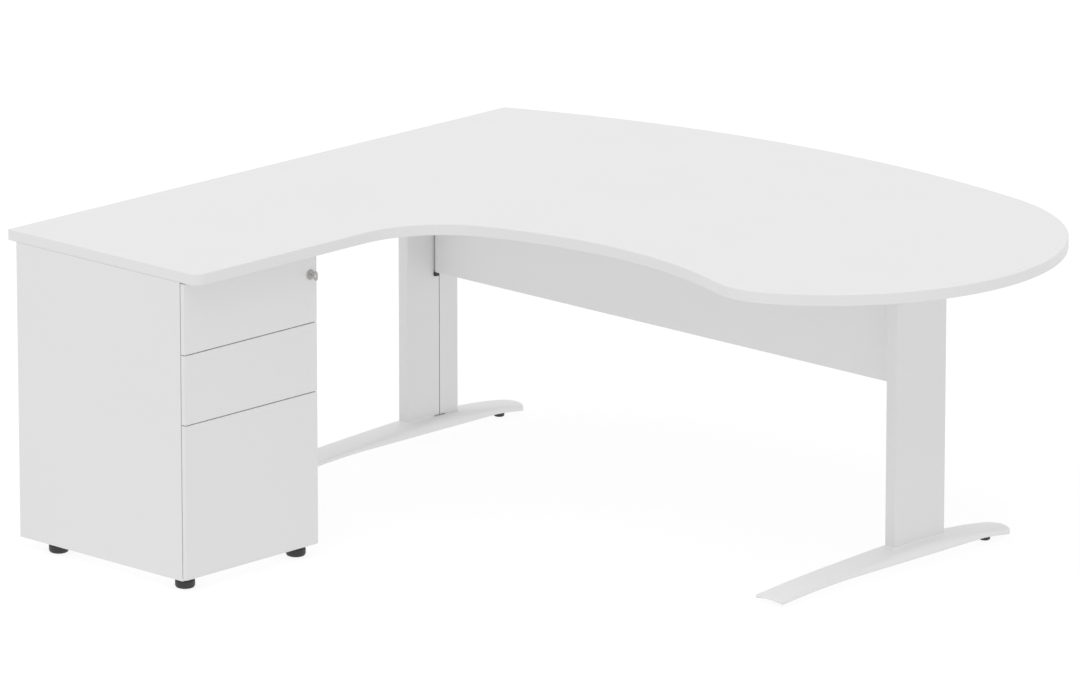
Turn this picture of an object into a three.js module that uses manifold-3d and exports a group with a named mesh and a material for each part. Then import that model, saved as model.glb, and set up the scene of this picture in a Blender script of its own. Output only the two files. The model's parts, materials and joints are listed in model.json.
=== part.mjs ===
// An L-shaped office workstation: one desktop with a return, a deep sweep where the user
// sits, a bowed back edge and a round end, on a desk-high drawer pedestal and two panel legs.
// Lengths are in millimetres and angles in degrees. +Z is up, the user sits on the -Y side
// and the pedestal's drawers open along +X.
import * as THREE from "three";
import { mergeVertices } from "three/addons/utils/BufferGeometryUtils.js";
import Module from "manifold-3d";

// Fits that more than one piece uses
const seatGap = 0.3;
const runningGap = 0.4;
const cutOverrun = 5;
const roundSides = 24;

// Desktop
const deskHeight = 733;
const deskLength = 1887;
const sideLength = 1600;
const returnWidth = 600;
const boardThickness = 25;
const bandThickness = 2;
const frontCornerRadius = 28;
const innerCornerRadius = 240;
const noseRadius = 170;
const endRadius = 544;
const bowRise = 208;
const bowPeakX = 988;
const noseAngle = -61;
const sweepEndAngle = 68.3;
const sweepStartAngle = 110.5;
const arcSteps = 12;

// Legs
const leftLegInset = 37;
const rightLegInset = 331.5;
const legSetback = 296.5;
const columnThickness = 30;
const columnDepth = 167;
const columnWall = 2;
const cableChannelDepth = 62;
const channelLip = 4;
const coverWall = 1.5;
const coverClipDepth = 8;
const coverSeam = 1.2;
const channelLipSetback = 6;
const coverTopDrop = 50;
const cableSlotHeight = 1.5;
const cableSlotHalfWidth = 19.5;

// Arms under the desktop
const armLength = 500;
const armThickness = 3;
const armFlange = 24;
const armSlack = 2;
const armScrewInset = 30;
const armScrewRadius = 3;
const armScrewHeadRadius = 6;
const armScrewHeadHeight = 3;
const armScrewGrip = 15;

// Pressed feet
const footWidth = 80;
const footFrontReach = 483;
const footRearReach = 297;
const footWall = 4;
const crownHeight = 48.7;
const toeCrownHeight = 18.5;
const heelCrownHeight = 25;
const footSideHeight = 6;
const toeArchRise = 2;
const footClearance = 21.4;
const toeClearance = 8.8;
const heelClearance = 8.8;
const toeRun = 230;
const heelRun = 120;
const heelRound = 29.5;
const heelRoundPower = 2.5;
const toeCrownPower = 1.4;
const heelCrownPower = 1.8;
const clearancePower = 1.65;
const archPower = 3.5;
const sectionSteps = 14;
const footStations = 26;

// Levelling glides under the pressed feet
const glideRadius = 12.5;
const glideHeight = 10;
const glideEdge = 2;
const glideStudRadius = 4;
const glideBossWall = 3;
const glideBossGap = 1;
const frontGlideInset = 45;
const rearGlideInset = 58;

// Modesty panel
const modestyThickness = 18;
const modestyDrop = 310;
const modestyStandoff = 3.5;
const modestyEndGap = 5;
const modestyBracketThickness = 2;
const modestyBracketReach = 25;
const modestyBracketSetback = 8;
const modestyTabHeight = 9;
const modestyTabReach = 8;
const modestyTabDepth = 11;
const modestyBracketTopGap = 12;

// Pedestal carcass
const pedestalRearInset = 26;
const pedestalFrontInset = 39;
const pedestalWidth = 412;
const carcassLift = 24.4;
const panelThickness = 18;

// Pedestal feet
const padRadius = 22.5;
const padEdge = 6;
const padEdgeSteps = 3;
const padStudRadius = 5;
const padStudLength = 14;
const padStudBoreDepth = 15;
const padSideInset = 32.5;
const padFrontInset = 25;
const padRearInset = 91;

// Drawer fronts
const frontThickness = 12;
const frontStandoff = 2;
const frontGap = 2;
const frontBottomReveal = 4.5;
const middleFrontHeight = 158.5;
const topFrontHeight = 161.5;

// Drawer boxes
const boxWall = 12;
const boxBottom = 6;
const boxRearGap = 39;
const shallowBoxTopDrop = 36;
const filingBoxTopDrop = 61.5;
const boxLiftOverFront = 16;

// Runners
const runnerSpace = 13;
const runnerSteel = 1.5;
const runnerHeight = 44;
const runnerFlange = 9;
const runnerRearGap = 14;
const runnerFrontSetback = 55;
const runnerOverBoxBottom = 42;
const filingStageStep = 3;

// Latch tabs on the runners and the locking bar
const tabLength = 6;
const tabRise = 9;
const tabHeadHeight = 6;
const tabHeadDepth = 7;
const barWidth = 16;
const barThickness = 2.5;
const barEndMargin = 40;
const barGrooveExtra = 0.5;
const barSetback = 34;
const fingerWidth = 6;
const fingerHeight = 4;
const fingerPlay = 3;
const fingerDrop = 1.5;
const fingerTipGap = 1;
const guideWidth = 26;
const guideHeight = 18;
const guideThickness = 2;

// Lock
const lockFromSide = 20;
const lockDrop = 53;
const lockFlangeRadius = 11.8;
const lockFlangeThickness = 2.5;
const lockBarrelRadius = 8;
const lockBarrelPastFront = 8;
const lockPlugRadius = 5.5;
const lockPlugRecess = 0.5;
const lockBoreGap = 0.3;
const camRadius = 9.5;
const camThickness = 3;
const pegRadius = 2;
const pegOrbit = 7;
const pegLength = 10;
const pegStartAngle = -45;
const lockRecessDepth = 9;
const lockRecessMargin = 5;
const headPlateThickness = 2.5;
const headPlateGap = 6;
const headPlateHeight = 22;
const pegSlotGap = 0.8;

// Key
const keyThickness = 2;
const keyBladeHeight = 7;
const keyBladeDepth = 15;
const keyNeck = 8.5;
const keyBowLength = 13;
const keyBowHeight = 22;
const keyBowCorner = 4;
const keyHoleRadius = 3;
const keySlotGap = 0.3;

// Fittings in the drawers
const trayLength = 110;
const trayHeight = 26;
const trayWall = 2.5;
const trayGap = 1;
const trayFrontMargin = 12;
const railThickness = 1.5;
const railDrop = 14;
const railRise = 8;
const railEndMargin = 20;

// Finishes
const white = { color: 0xe9e9e9, roughness: 0.55, metalness: 0 };
const whiteEdge = { color: 0xdedede, roughness: 0.45, metalness: 0 };
const whiteSteel = { color: 0xdcdcdc, roughness: 0.42, metalness: 0 };
const zincSteel = { color: 0xb4b6b8, roughness: 0.35, metalness: 0.9 };
const blackPlastic = { color: 0x1c1c1d, roughness: 0.5, metalness: 0 };
const greyPlastic = { color: 0x8d8f91, roughness: 0.55, metalness: 0 };

// Places worked out from the sizes above
const undersideZ = deskHeight - boardThickness;
const legLineY = sideLength - legSetback;
const leftLegX = leftLegInset;
const rightLegX = deskLength - rightLegInset;
const columnFrontY = legLineY - columnDepth / 2;
const columnRearY = legLineY + columnDepth / 2;
const footFrontY = legLineY - footFrontReach;
const footRearY = legLineY + footRearReach;
const modestyFrontY = legLineY + modestyStandoff;
const modestyRearY = modestyFrontY + modestyThickness;
const channelFrontY = columnRearY - cableChannelDepth;

const frontFaceX = returnWidth - pedestalFrontInset;
const frontBackX = frontFaceX - frontThickness;
const carcassFrontX = frontBackX - frontStandoff;
const carcassRearX = pedestalRearInset;
const carcassInsideX = carcassRearX + panelThickness;
const innerLeftY = panelThickness;
const innerRightY = pedestalWidth - panelThickness;
const boxLeftY = innerLeftY + runnerSpace;
const boxRightY = innerRightY - runnerSpace;
const topFrontZ = undersideZ - frontGap - topFrontHeight;
const middleFrontZ = topFrontZ - frontGap - middleFrontHeight;
const filingFrontZ = carcassLift + frontBottomReveal;
const filingFrontHeight = middleFrontZ - frontGap - filingFrontZ;
const boxBackX = carcassInsideX + boxRearGap;
const runnerFrontX = frontBackX - runnerFrontSetback;
const runnerBackX = carcassInsideX + runnerRearGap;
const drawers = [
  { name: "filing", frontZ: filingFrontZ, frontHeight: filingFrontHeight, topDrop: filingBoxTopDrop },
  { name: "middle", frontZ: middleFrontZ, frontHeight: middleFrontHeight, topDrop: shallowBoxTopDrop },
  { name: "top", frontZ: topFrontZ, frontHeight: topFrontHeight, topDrop: shallowBoxTopDrop },
];
for (const drawer of drawers) {
  drawer.boxZ = drawer.frontZ + boxLiftOverFront;
  drawer.boxHeight = drawer.frontHeight - boxLiftOverFront - drawer.topDrop;
  drawer.runnerZ = drawer.boxZ + runnerOverBoxBottom;
}

const lockY = pedestalWidth - lockFromSide;
const lockHeight = undersideZ - lockDrop;
const barFrontX = carcassFrontX - barSetback;
const barBackX = barFrontX - barWidth;
const housingBackX = frontBackX - lockBarrelPastFront;
const camFrontX = housingBackX - seatGap;
const camBackX = camFrontX - camThickness;
const headPlateX = camBackX - headPlateGap - headPlateThickness;

// Helpers for solids
const wasm = await Module();
wasm.setup();

function toSolid(geometry) {
  const bare = geometry.clone();
  bare.deleteAttribute("normal");
  bare.deleteAttribute("uv");
  const merged = mergeVertices(bare);
  return new wasm.Manifold(new wasm.Mesh({
    numProp: 3,
    vertProperties: new Float32Array(merged.attributes.position.array),
    triVerts: new Uint32Array(merged.index.array),
  }));
}

function toGeometry(solid) {
  const mesh = solid.getMesh();
  const geometry = new THREE.BufferGeometry();
  geometry.setAttribute("position", new THREE.BufferAttribute(new Float32Array(mesh.vertProperties), 3));
  geometry.setIndex(new THREE.BufferAttribute(new Uint32Array(mesh.triVerts), 1));
  geometry.computeVertexNormals();
  return geometry;
}

function cut(body, ...tools) {
  return toGeometry(tools.reduce((solid, tool) => solid.subtract(toSolid(tool)), toSolid(body)));
}

function join(body, ...others) {
  return toGeometry(others.reduce((solid, other) => solid.add(toSolid(other)), toSolid(body)));
}

function block(x0, x1, y0, y1, z0, z1) {
  const geometry = new THREE.BoxGeometry(x1 - x0, y1 - y0, z1 - z0);
  return geometry.translate((x0 + x1) / 2, (y0 + y1) / 2, (z0 + z1) / 2);
}

// A solid of revolution about the vertical line through (x, y), from [radius, height] pairs
function turned(profile, x, y) {
  const points = profile.map(([radius, height]) => new THREE.Vector2(radius, height));
  return new THREE.LatheGeometry(points, roundSides).rotateX(Math.PI / 2).translate(x, y, 0);
}

// A round bar along X between two places
function barAlongX(x0, x1, y, z, radius) {
  const geometry = new THREE.CylinderGeometry(radius, radius, x1 - x0, roundSides);
  return geometry.rotateZ(Math.PI / 2).translate((x0 + x1) / 2, y, z);
}

// A round bar along Z between two heights
function barAlongZ(x, y, z0, z1, radius) {
  const geometry = new THREE.CylinderGeometry(radius, radius, z1 - z0, roundSides);
  return geometry.rotateX(Math.PI / 2).translate(x, y, (z0 + z1) / 2);
}

// Points put in anticlockwise order, so that a mirrored outline still has its solid inside
function closedLoop(points) {
  const loop = points.map(([x, y]) => new THREE.Vector2(x, y));
  return THREE.ShapeUtils.isClockWise(loop) ? loop.reverse() : loop;
}

function closedShape(points) {
  return new THREE.Shape(closedLoop(points));
}

// A flat outline raised from z0 to z1
function raised(shape, z0, z1) {
  const geometry = new THREE.ExtrudeGeometry(shape, { depth: z1 - z0, bevelEnabled: false });
  return geometry.translate(0, 0, z0);
}

// A profile of [y, z] pairs drawn out along X from x0 to x1
function drawnAlongX(profile, x0, x1) {
  const geometry = new THREE.ExtrudeGeometry(closedShape(profile), { depth: x1 - x0, bevelEnabled: false });
  geometry.rotateX(Math.PI / 2).rotateZ(Math.PI / 2);
  return geometry.translate(x0, 0, 0);
}

// A closed skin through rings of the same number of points. Seen from the first ring's end,
// the points of each ring go round clockwise.
function skinned(rings) {
  const positions = rings.flat(2);
  const around = rings[0].length;
  const index = [];
  for (let ring = 0; ring < rings.length - 1; ring += 1) {
    for (let i = 0; i < around; i += 1) {
      const a = ring * around + i;
      const b = ring * around + ((i + 1) % around);
      index.push(a, b, a + around, b, b + around, a + around);
    }
  }
  const last = (rings.length - 1) * around;
  for (let i = 1; i < around - 1; i += 1) {
    index.push(0, i + 1, i);
    index.push(last, last + i, last + i + 1);
  }
  const geometry = new THREE.BufferGeometry();
  geometry.setAttribute("position", new THREE.Float32BufferAttribute(positions, 3));
  geometry.setIndex(index);
  return geometry;
}

// The origin is on the floor under the middle of the whole desk. A foot may stand out past the
// desktop's outer edge.
const model = new THREE.Group();
const leftReach = Math.max(0, footWidth / 2 - leftLegInset);
model.position.set((leftReach - deskLength) / 2, -(sideLength + bowRise) / 2, 0);

function place(name, geometry, finish) {
  if (!geometry.attributes.normal) geometry.computeVertexNormals();
  const mesh = new THREE.Mesh(geometry, new THREE.MeshStandardMaterial(finish));
  mesh.name = name;
  model.add(mesh);
}

// The desktop's outline is a chain of tangent arcs. An inset draws the same outline that far in.
function deskOutline(inset) {
  const radians = THREE.MathUtils.degToRad;
  const bowRadius = (bowPeakX ** 2 + bowRise ** 2) / (2 * bowRise);
  const bow = new THREE.Vector2(bowPeakX, sideLength + bowRise - bowRadius);
  const endX = deskLength - endRadius;
  const endLift = Math.sqrt((bowRadius - endRadius) ** 2 - (endX - bowPeakX) ** 2);
  const end = new THREE.Vector2(endX, bow.y + endLift);
  const noseAt = radians(noseAngle);
  const sweepFrom = radians(sweepStartAngle);
  const sweepTo = radians(sweepEndAngle);
  const towards = (angle, distance) => (
    new THREE.Vector2(Math.cos(angle), Math.sin(angle)).multiplyScalar(distance)
  );
  const nose = end.clone().add(towards(noseAt, endRadius - noseRadius));
  const innerX = returnWidth + innerCornerRadius;
  const reach = nose.x - innerX - noseRadius * Math.cos(sweepTo) - innerCornerRadius * Math.cos(sweepFrom);
  const sweepRadius = reach / (Math.cos(sweepTo) - Math.cos(sweepFrom));
  const sweep = nose.clone().sub(towards(sweepTo, sweepRadius + noseRadius));
  const inner = sweep.clone().add(towards(sweepFrom, sweepRadius - innerCornerRadius));
  const joint = end.clone().sub(bow).angle();
  const backRadius = bowRadius - inset;
  const backCorner = Math.acos((inset - bow.x) / backRadius);

  const shape = new THREE.Shape();
  shape.moveTo(inset, inset);
  shape.lineTo(returnWidth - frontCornerRadius, inset);
  shape.absarc(
    returnWidth - frontCornerRadius, frontCornerRadius, frontCornerRadius - inset, -Math.PI / 2, 0, false,
  );
  shape.absarc(inner.x, inner.y, innerCornerRadius + inset, Math.PI, sweepFrom, true);
  shape.absarc(sweep.x, sweep.y, sweepRadius + inset, sweepFrom, sweepTo, true);
  shape.absarc(nose.x, nose.y, noseRadius - inset, sweepTo + Math.PI, noseAt + 2 * Math.PI, false);
  shape.absarc(end.x, end.y, endRadius - inset, noseAt, joint, false);
  shape.absarc(bow.x, bow.y, backRadius, joint, backCorner, false);
  return shape.getPoints(arcSteps);
}

function armScrewPlaces(legX) {
  return [
    { end: "front", x: legX, y: legLineY - armLength / 2 + armScrewInset },
    { end: "rear", x: legX, y: legLineY + armLength / 2 - armScrewInset },
  ];
}

function makeDesktop() {
  const board = raised(new THREE.Shape(deskOutline(bandThickness)), undersideZ, deskHeight);
  const screwHoles = [leftLegX, rightLegX].flatMap(armScrewPlaces).map(({ x, y }) => (
    barAlongZ(x, y, undersideZ - cutOverrun, undersideZ + armScrewGrip + seatGap, armScrewRadius + seatGap)
  ));
  place("desktop", cut(board, ...screwHoles), white);

  const band = new THREE.Shape(deskOutline(0));
  band.holes.push(new THREE.Path(deskOutline(bandThickness)));
  place("desktop_edge_band", raised(band, undersideZ, deskHeight), whiteEdge);
}

// Heights along a pressed foot: t is 0 over the column's middle and 1 at the toe or heel
function crownAt(y) {
  const front = y < legLineY;
  const t = front ? (legLineY - y) / footFrontReach : (y - legLineY) / footRearReach;
  const drop = crownHeight - (front ? toeCrownHeight : heelCrownHeight);
  return crownHeight - drop * t ** (front ? toeCrownPower : heelCrownPower);
}

// How far a place lies into the toe's or heel's run, from 0 at the run's start to 1 at the tip
function tipShare(y) {
  const toe = Math.max(0, (footFrontY + toeRun - y) / toeRun);
  const heel = Math.max(0, (y - footRearY + heelRun) / heelRun);
  return { toe, heel };
}

function lowerEdgeAt(y) {
  const { toe, heel } = tipShare(y);
  const toeDrop = (footClearance - toeClearance) * toe ** clearancePower;
  const heelDrop = (footClearance - heelClearance) * heel ** clearancePower;
  return footClearance - toeDrop - heelDrop;
}

// The foot is full width up to its round heel
function halfWidthAt(y, inset) {
  const past = Math.max(0, (y - (footRearY - heelRound)) / heelRound);
  const share = Math.max(0, 1 - past ** heelRoundPower) ** (1 / heelRoundPower);
  return (footWidth / 2) * share - inset;
}

// One upright section across a foot: a flat bottom, short sides and a full arch, which is
// flatter on top than an ellipse
function footSection(legX, y, inset, below, lift) {
  const half = halfWidthAt(y, inset);
  const low = lowerEdgeAt(y) - below;
  const top = crownAt(y) - inset + lift;
  const shoulder = Math.min(lowerEdgeAt(y) + footSideHeight + lift, top - toeArchRise);
  const ring = [[legX + half, y, low], [legX - half, y, low]];
  for (let i = 0; i <= sectionSteps; i += 1) {
    const angle = Math.PI - (Math.PI * i) / sectionSteps;
    const across = Math.sign(Math.cos(angle)) * Math.abs(Math.cos(angle)) ** (2 / archPower);
    const rise = Math.sin(angle) ** (2 / archPower);
    ring.push([legX + half * across, y, shoulder + (top - shoulder) * rise]);
  }
  return ring;
}

function footForm(legX, fromY, toY, inset, below, lift) {
  const rings = [];
  for (let i = 0; i <= footStations; i += 1) {
    const share = Math.sin((Math.PI / 2) * (i / footStations));
    rings.push(footSection(legX, fromY + (toY - fromY) * share, inset, below, lift));
  }
  return skinned(rings);
}

function glidePlaces() {
  return [
    { end: "front", y: footFrontY + frontGlideInset },
    { end: "rear", y: footRearY - rearGlideInset },
  ];
}

function makeFoot(side, legX) {
  const shell = footForm(legX, footFrontY, footRearY - seatGap, 0, 0, 0);
  const hollow = footForm(legX, footFrontY + footWall, footRearY - footWall * 2, footWall, cutOverrun, 0);
  const bosses = glidePlaces().map(({ y }) => {
    const bottom = Math.max(glideHeight + glideBossGap, lowerEdgeAt(y));
    return barAlongZ(legX, y, bottom, crownAt(y) - footWall / 2, glideStudRadius + glideBossWall);
  });
  const bores = glidePlaces().map(({ y }) => (
    barAlongZ(legX, y, 0, crownAt(y) - footWall, glideStudRadius + seatGap)
  ));
  place(`${side}_foot`, cut(join(cut(shell, hollow), ...bosses), ...bores), whiteSteel);

  for (const { end, y } of glidePlaces()) {
    const studTop = crownAt(y) - footWall - seatGap;
    const profile = [
      [0, 0],
      [glideRadius - glideEdge, 0],
      [glideRadius, glideEdge],
      [glideRadius, glideHeight],
      [glideStudRadius, glideHeight],
      [glideStudRadius, studTop],
      [0, studTop],
    ];
    place(`${side}_${end}_glide`, turned(profile, legX, y), blackPlastic);
  }
}

// inward is +1 where the knee space lies on the column's +X side and -1 where it lies on its -X side
function makeColumn(side, legX, inward) {
  const outerX = legX - (inward * columnThickness) / 2;
  const across = (x) => outerX + inward * x;
  const inner = columnThickness;
  const webY = channelFrontY - columnWall;
  const outline = [
    [across(0), columnFrontY],
    [across(inner), columnFrontY],
    [across(inner), channelFrontY],
    [across(inner - channelLipSetback), channelFrontY],
    [across(inner - channelLipSetback), channelFrontY + channelLip],
    [across(inner - channelLipSetback - columnWall), channelFrontY + channelLip],
    [across(inner - channelLipSetback - columnWall), channelFrontY],
    [across(columnWall), channelFrontY],
    [across(columnWall), columnRearY - columnWall],
    [across(inner - coverWall - seatGap), columnRearY - columnWall],
    [across(inner - coverWall - seatGap), columnRearY],
    [across(0), columnRearY],
  ];
  const shape = closedShape(outline);
  const tube = [
    [across(columnWall), columnFrontY + columnWall],
    [across(inner - columnWall), columnFrontY + columnWall],
    [across(inner - columnWall), webY],
    [across(columnWall), webY],
  ];
  shape.holes.push(new THREE.Path(closedLoop(tube)));
  const footTop = crownHeight - footWall;
  const post = raised(shape, footTop - footSideHeight, undersideZ - armThickness);
  const seat = footForm(legX, footFrontY, footRearY - seatGap, 0, 0, seatGap);
  const slotX = [across(inner - coverClipDepth - seatGap), across(inner + cutOverrun)];
  const slot = block(
    Math.min(...slotX), Math.max(...slotX),
    channelFrontY - cableSlotHalfWidth, channelFrontY + cableSlotHalfWidth,
    footTop - footSideHeight - cutOverrun, crownHeight + cableSlotHeight,
  );
  place(`${side}_column`, cut(post, seat, slot), whiteSteel);

  const coverFrontY = channelFrontY + coverSeam;
  const coverRearY = columnRearY;
  const clipFrontY = channelFrontY + channelLip + seatGap;
  const clipRearY = columnRearY - columnWall - seatGap;
  const cover = closedShape([
    [across(inner), coverFrontY],
    [across(inner), coverRearY],
    [across(inner - coverWall), coverRearY],
    [across(inner - coverWall), clipRearY],
    [across(inner - coverClipDepth), clipRearY],
    [across(inner - coverClipDepth), clipRearY - coverWall],
    [across(inner - coverWall), clipRearY - coverWall],
    [across(inner - coverWall), clipFrontY + coverWall],
    [across(inner - coverClipDepth), clipFrontY + coverWall],
    [across(inner - coverClipDepth), clipFrontY],
    [across(inner - coverWall), clipFrontY],
    [across(inner - coverWall), coverFrontY],
  ]);
  const strip = raised(cover, footTop - footSideHeight, undersideZ - coverTopDrop);
  place(`${side}_cable_cover`, cut(strip, seat, slot), whiteSteel);
}

function makeArm(side, legX) {
  const halfInside = columnThickness / 2 + armSlack;
  const halfOutside = halfInside + armThickness;
  const plateZ = undersideZ - armThickness;
  const flangeZ = undersideZ - armFlange;
  const channel = new THREE.ExtrudeGeometry(closedShape([
    [-halfOutside, flangeZ],
    [-halfInside, flangeZ],
    [-halfInside, plateZ],
    [halfInside, plateZ],
    [halfInside, flangeZ],
    [halfOutside, flangeZ],
    [halfOutside, undersideZ],
    [-halfOutside, undersideZ],
  ]), { depth: armLength, bevelEnabled: false });
  channel.rotateX(Math.PI / 2).translate(legX, legLineY + armLength / 2, 0);
  const places = armScrewPlaces(legX);
  const holes = places.map(({ x, y }) => (
    barAlongZ(x, y, plateZ - cutOverrun, undersideZ + cutOverrun, armScrewRadius + seatGap)
  ));
  place(`${side}_top_arm`, cut(channel, ...holes), whiteSteel);

  for (const { end, x, y } of places) {
    const headZ = plateZ - seatGap;
    const profile = [
      [0, headZ - armScrewHeadHeight],
      [armScrewHeadRadius, headZ - armScrewHeadHeight],
      [armScrewHeadRadius, headZ],
      [armScrewRadius, headZ],
      [armScrewRadius, undersideZ + armScrewGrip],
      [0, undersideZ + armScrewGrip],
    ];
    place(`${side}_arm_screw_${end}`, turned(profile, x, y), zincSteel);
  }
}

function makeModesty() {
  const leftFace = leftLegX + columnThickness / 2;
  const rightFace = rightLegX - columnThickness / 2;
  const bottomZ = undersideZ - modestyDrop;
  place("modesty_panel", block(
    leftFace + modestyEndGap, rightFace - modestyEndGap, modestyFrontY, modestyRearY, bottomZ, undersideZ,
  ), white);

  const thick = modestyBracketThickness;
  const topZ = undersideZ - armFlange - modestyBracketTopGap;
  for (const [side, faceX, inward] of [["left", leftFace, 1], ["right", rightFace, -1]]) {
    const wallX = faceX + inward * seatGap;
    const legFrontY = modestyFrontY + modestyBracketSetback;
    const angle = [
      [wallX, legFrontY],
      [wallX + inward * thick, legFrontY],
      [wallX + inward * thick, modestyRearY + seatGap],
      [wallX + inward * modestyBracketReach, modestyRearY + seatGap],
      [wallX + inward * modestyBracketReach, modestyRearY + seatGap + thick],
      [wallX, modestyRearY + seatGap + thick],
    ];
    const tabX = [wallX, wallX + inward * modestyTabReach];
    const tab = block(
      Math.min(...tabX), Math.max(...tabX), modestyFrontY, modestyFrontY + modestyTabDepth,
      bottomZ - seatGap - modestyTabHeight, bottomZ - seatGap,
    );
    const leg = raised(closedShape(angle), bottomZ - seatGap - thick, topZ);
    place(`${side}_modesty_bracket`, join(leg, tab), blackPlastic);
  }
}

function padPlaces() {
  const rearX = carcassRearX + padRearInset;
  const frontX = carcassFrontX - padFrontInset;
  return [
    { name: "rear_outer", x: rearX, y: padSideInset },
    { name: "front_outer", x: frontX, y: padSideInset },
    { name: "rear_inner", x: rearX, y: pedestalWidth - padSideInset },
    { name: "front_inner", x: frontX, y: pedestalWidth - padSideInset },
  ];
}

function makeCarcass() {
  const topZ = undersideZ;
  const frontX = carcassFrontX;
  place("pedestal_outer_side", block(carcassRearX, frontX, 0, innerLeftY, carcassLift, topZ), white);

  const grooveDepth = barThickness + seatGap + barGrooveExtra;
  const groove = block(
    barBackX - barGrooveExtra, barFrontX + barGrooveExtra,
    innerRightY - cutOverrun, innerRightY + grooveDepth,
    carcassLift + barEndMargin - pegOrbit,
    lockHeight + headPlateHeight / 2 + lockRecessMargin + pegOrbit * 2,
  );
  const recess = block(
    barFrontX - cutOverrun, frontX + cutOverrun,
    innerRightY - cutOverrun, innerRightY + lockRecessDepth,
    lockHeight - headPlateHeight / 2 - lockRecessMargin,
    lockHeight + headPlateHeight / 2 + lockRecessMargin + pegOrbit * 2,
  );
  const innerSide = block(carcassRearX, frontX, innerRightY, pedestalWidth, carcassLift, topZ);
  place("pedestal_inner_side", cut(innerSide, groove, recess), white);

  const between = (x0, x1, z0, z1) => block(x0, x1, innerLeftY, innerRightY, z0, z1);
  place("pedestal_back", between(carcassRearX, carcassInsideX, carcassLift, topZ), white);
  place("pedestal_top", between(carcassInsideX, frontX, topZ - panelThickness, topZ), white);
  const base = between(carcassInsideX, frontX, carcassLift, carcassLift + panelThickness);
  const bores = padPlaces().map(({ x, y }) => (
    barAlongZ(x, y, carcassLift - cutOverrun, carcassLift + padStudBoreDepth, padStudRadius + seatGap)
  ));
  place("pedestal_base", cut(base, ...bores), white);

  for (const { name, x, y } of padPlaces()) {
    const edge = Array.from({ length: padEdgeSteps + 1 }, (_, step) => {
      const angle = (Math.PI / 2) * (step / padEdgeSteps);
      return [padRadius - padEdge + padEdge * Math.sin(angle), padEdge - padEdge * Math.cos(angle)];
    });
    const profile = [
      [0, 0],
      ...edge,
      [padRadius, carcassLift],
      [padStudRadius, carcassLift],
      [padStudRadius, carcassLift + padStudLength],
      [0, carcassLift + padStudLength],
    ];
    place(`pedestal_foot_${name}`, turned(profile, x, y), blackPlastic);
  }
}

// A channel-shaped runner member: its web stands at webY and its flanges reach towards openSide
function runnerProfile(webY, openSide, height, reach, middleZ) {
  const backY = webY;
  const insideY = webY + openSide * runnerSteel;
  const tipY = webY + openSide * reach;
  const half = height / 2;
  return [
    [backY, middleZ - half],
    [tipY, middleZ - half],
    [tipY, middleZ - half + runnerSteel],
    [insideY, middleZ - half + runnerSteel],
    [insideY, middleZ + half - runnerSteel],
    [tipY, middleZ + half - runnerSteel],
    [tipY, middleZ + half],
    [backY, middleZ + half],
  ];
}

// Each inner member nests in the flanges of the one outside it
const stageLoss = 2 * (runnerSteel + runningGap);

function latchTab(middleZ, memberHeight) {
  const backX = runnerFrontX - tabLength;
  const neckBottom = middleZ + memberHeight / 2 - runnerSteel;
  const headBottom = middleZ + runnerHeight / 2 + tabRise - tabHeadHeight / 2;
  const topZ = headBottom + tabHeadHeight;
  const neck = block(backX, runnerFrontX, boxRightY, boxRightY + runnerSteel, neckBottom, topZ);
  const head = block(backX, runnerFrontX, boxRightY, boxRightY + tabHeadDepth, headBottom, topZ);
  return join(neck, head);
}

function fingerTopZ(runnerZ) {
  return runnerZ + runnerHeight / 2 + tabRise - tabHeadHeight / 2 - fingerDrop;
}

function makeRunners({ name, runnerZ }) {
  const full = name === "filing";
  const memberHeight = runnerHeight - stageLoss * (full ? 2 : 1);
  const sides = [
    { side: "outer", wallY: innerLeftY, boxY: boxLeftY, inward: 1 },
    { side: "inner", wallY: innerRightY, boxY: boxRightY, inward: -1 },
  ];
  for (const { side, wallY, boxY, inward } of sides) {
    const wallMember = runnerProfile(wallY, inward, runnerHeight, runnerFlange, runnerZ);
    place(`${name}_${side}_cabinet_runner`, drawnAlongX(wallMember, runnerBackX, runnerFrontX), zincSteel);

    if (full) {
      const webY = wallY + inward * (runnerSteel + runningGap);
      const stage = runnerProfile(webY, inward, runnerHeight - stageLoss, runnerFlange, runnerZ);
      const stageFrontX = runnerFrontX - filingStageStep;
      place(`${name}_${side}_middle_runner`, drawnAlongX(stage, runnerBackX, stageFrontX), zincSteel);
    }

    const boxMember = runnerProfile(boxY, -inward, memberHeight, runnerFlange - 2 * runningGap, runnerZ);
    const member = drawnAlongX(boxMember, runnerBackX, runnerFrontX);
    const latched = side === "inner" ? join(member, latchTab(runnerZ, memberHeight)) : member;
    place(`${name}_${side}_drawer_runner`, latched, zincSteel);
  }
}

function makeDrawer(drawer) {
  const { name, frontZ, frontHeight, boxZ, boxHeight } = drawer;
  const panel = block(frontBackX, frontFaceX, 0, pedestalWidth, frontZ, frontZ + frontHeight);
  const lockHole = barAlongX(
    frontBackX - cutOverrun, frontFaceX + cutOverrun, lockY, lockHeight, lockBarrelRadius + lockBoreGap,
  );
  place(`${name}_drawer_front`, name === "top" ? cut(panel, lockHole) : panel, white);

  const box = block(boxBackX, frontBackX, boxLeftY, boxRightY, boxZ, boxZ + boxHeight);
  const inside = block(
    boxBackX + boxWall, frontBackX - boxWall, boxLeftY + boxWall, boxRightY - boxWall,
    boxZ + boxBottom, boxZ + boxHeight + cutOverrun,
  );
  place(`${name}_drawer_box`, cut(box, inside), white);
  makeRunners(drawer);
}

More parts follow.
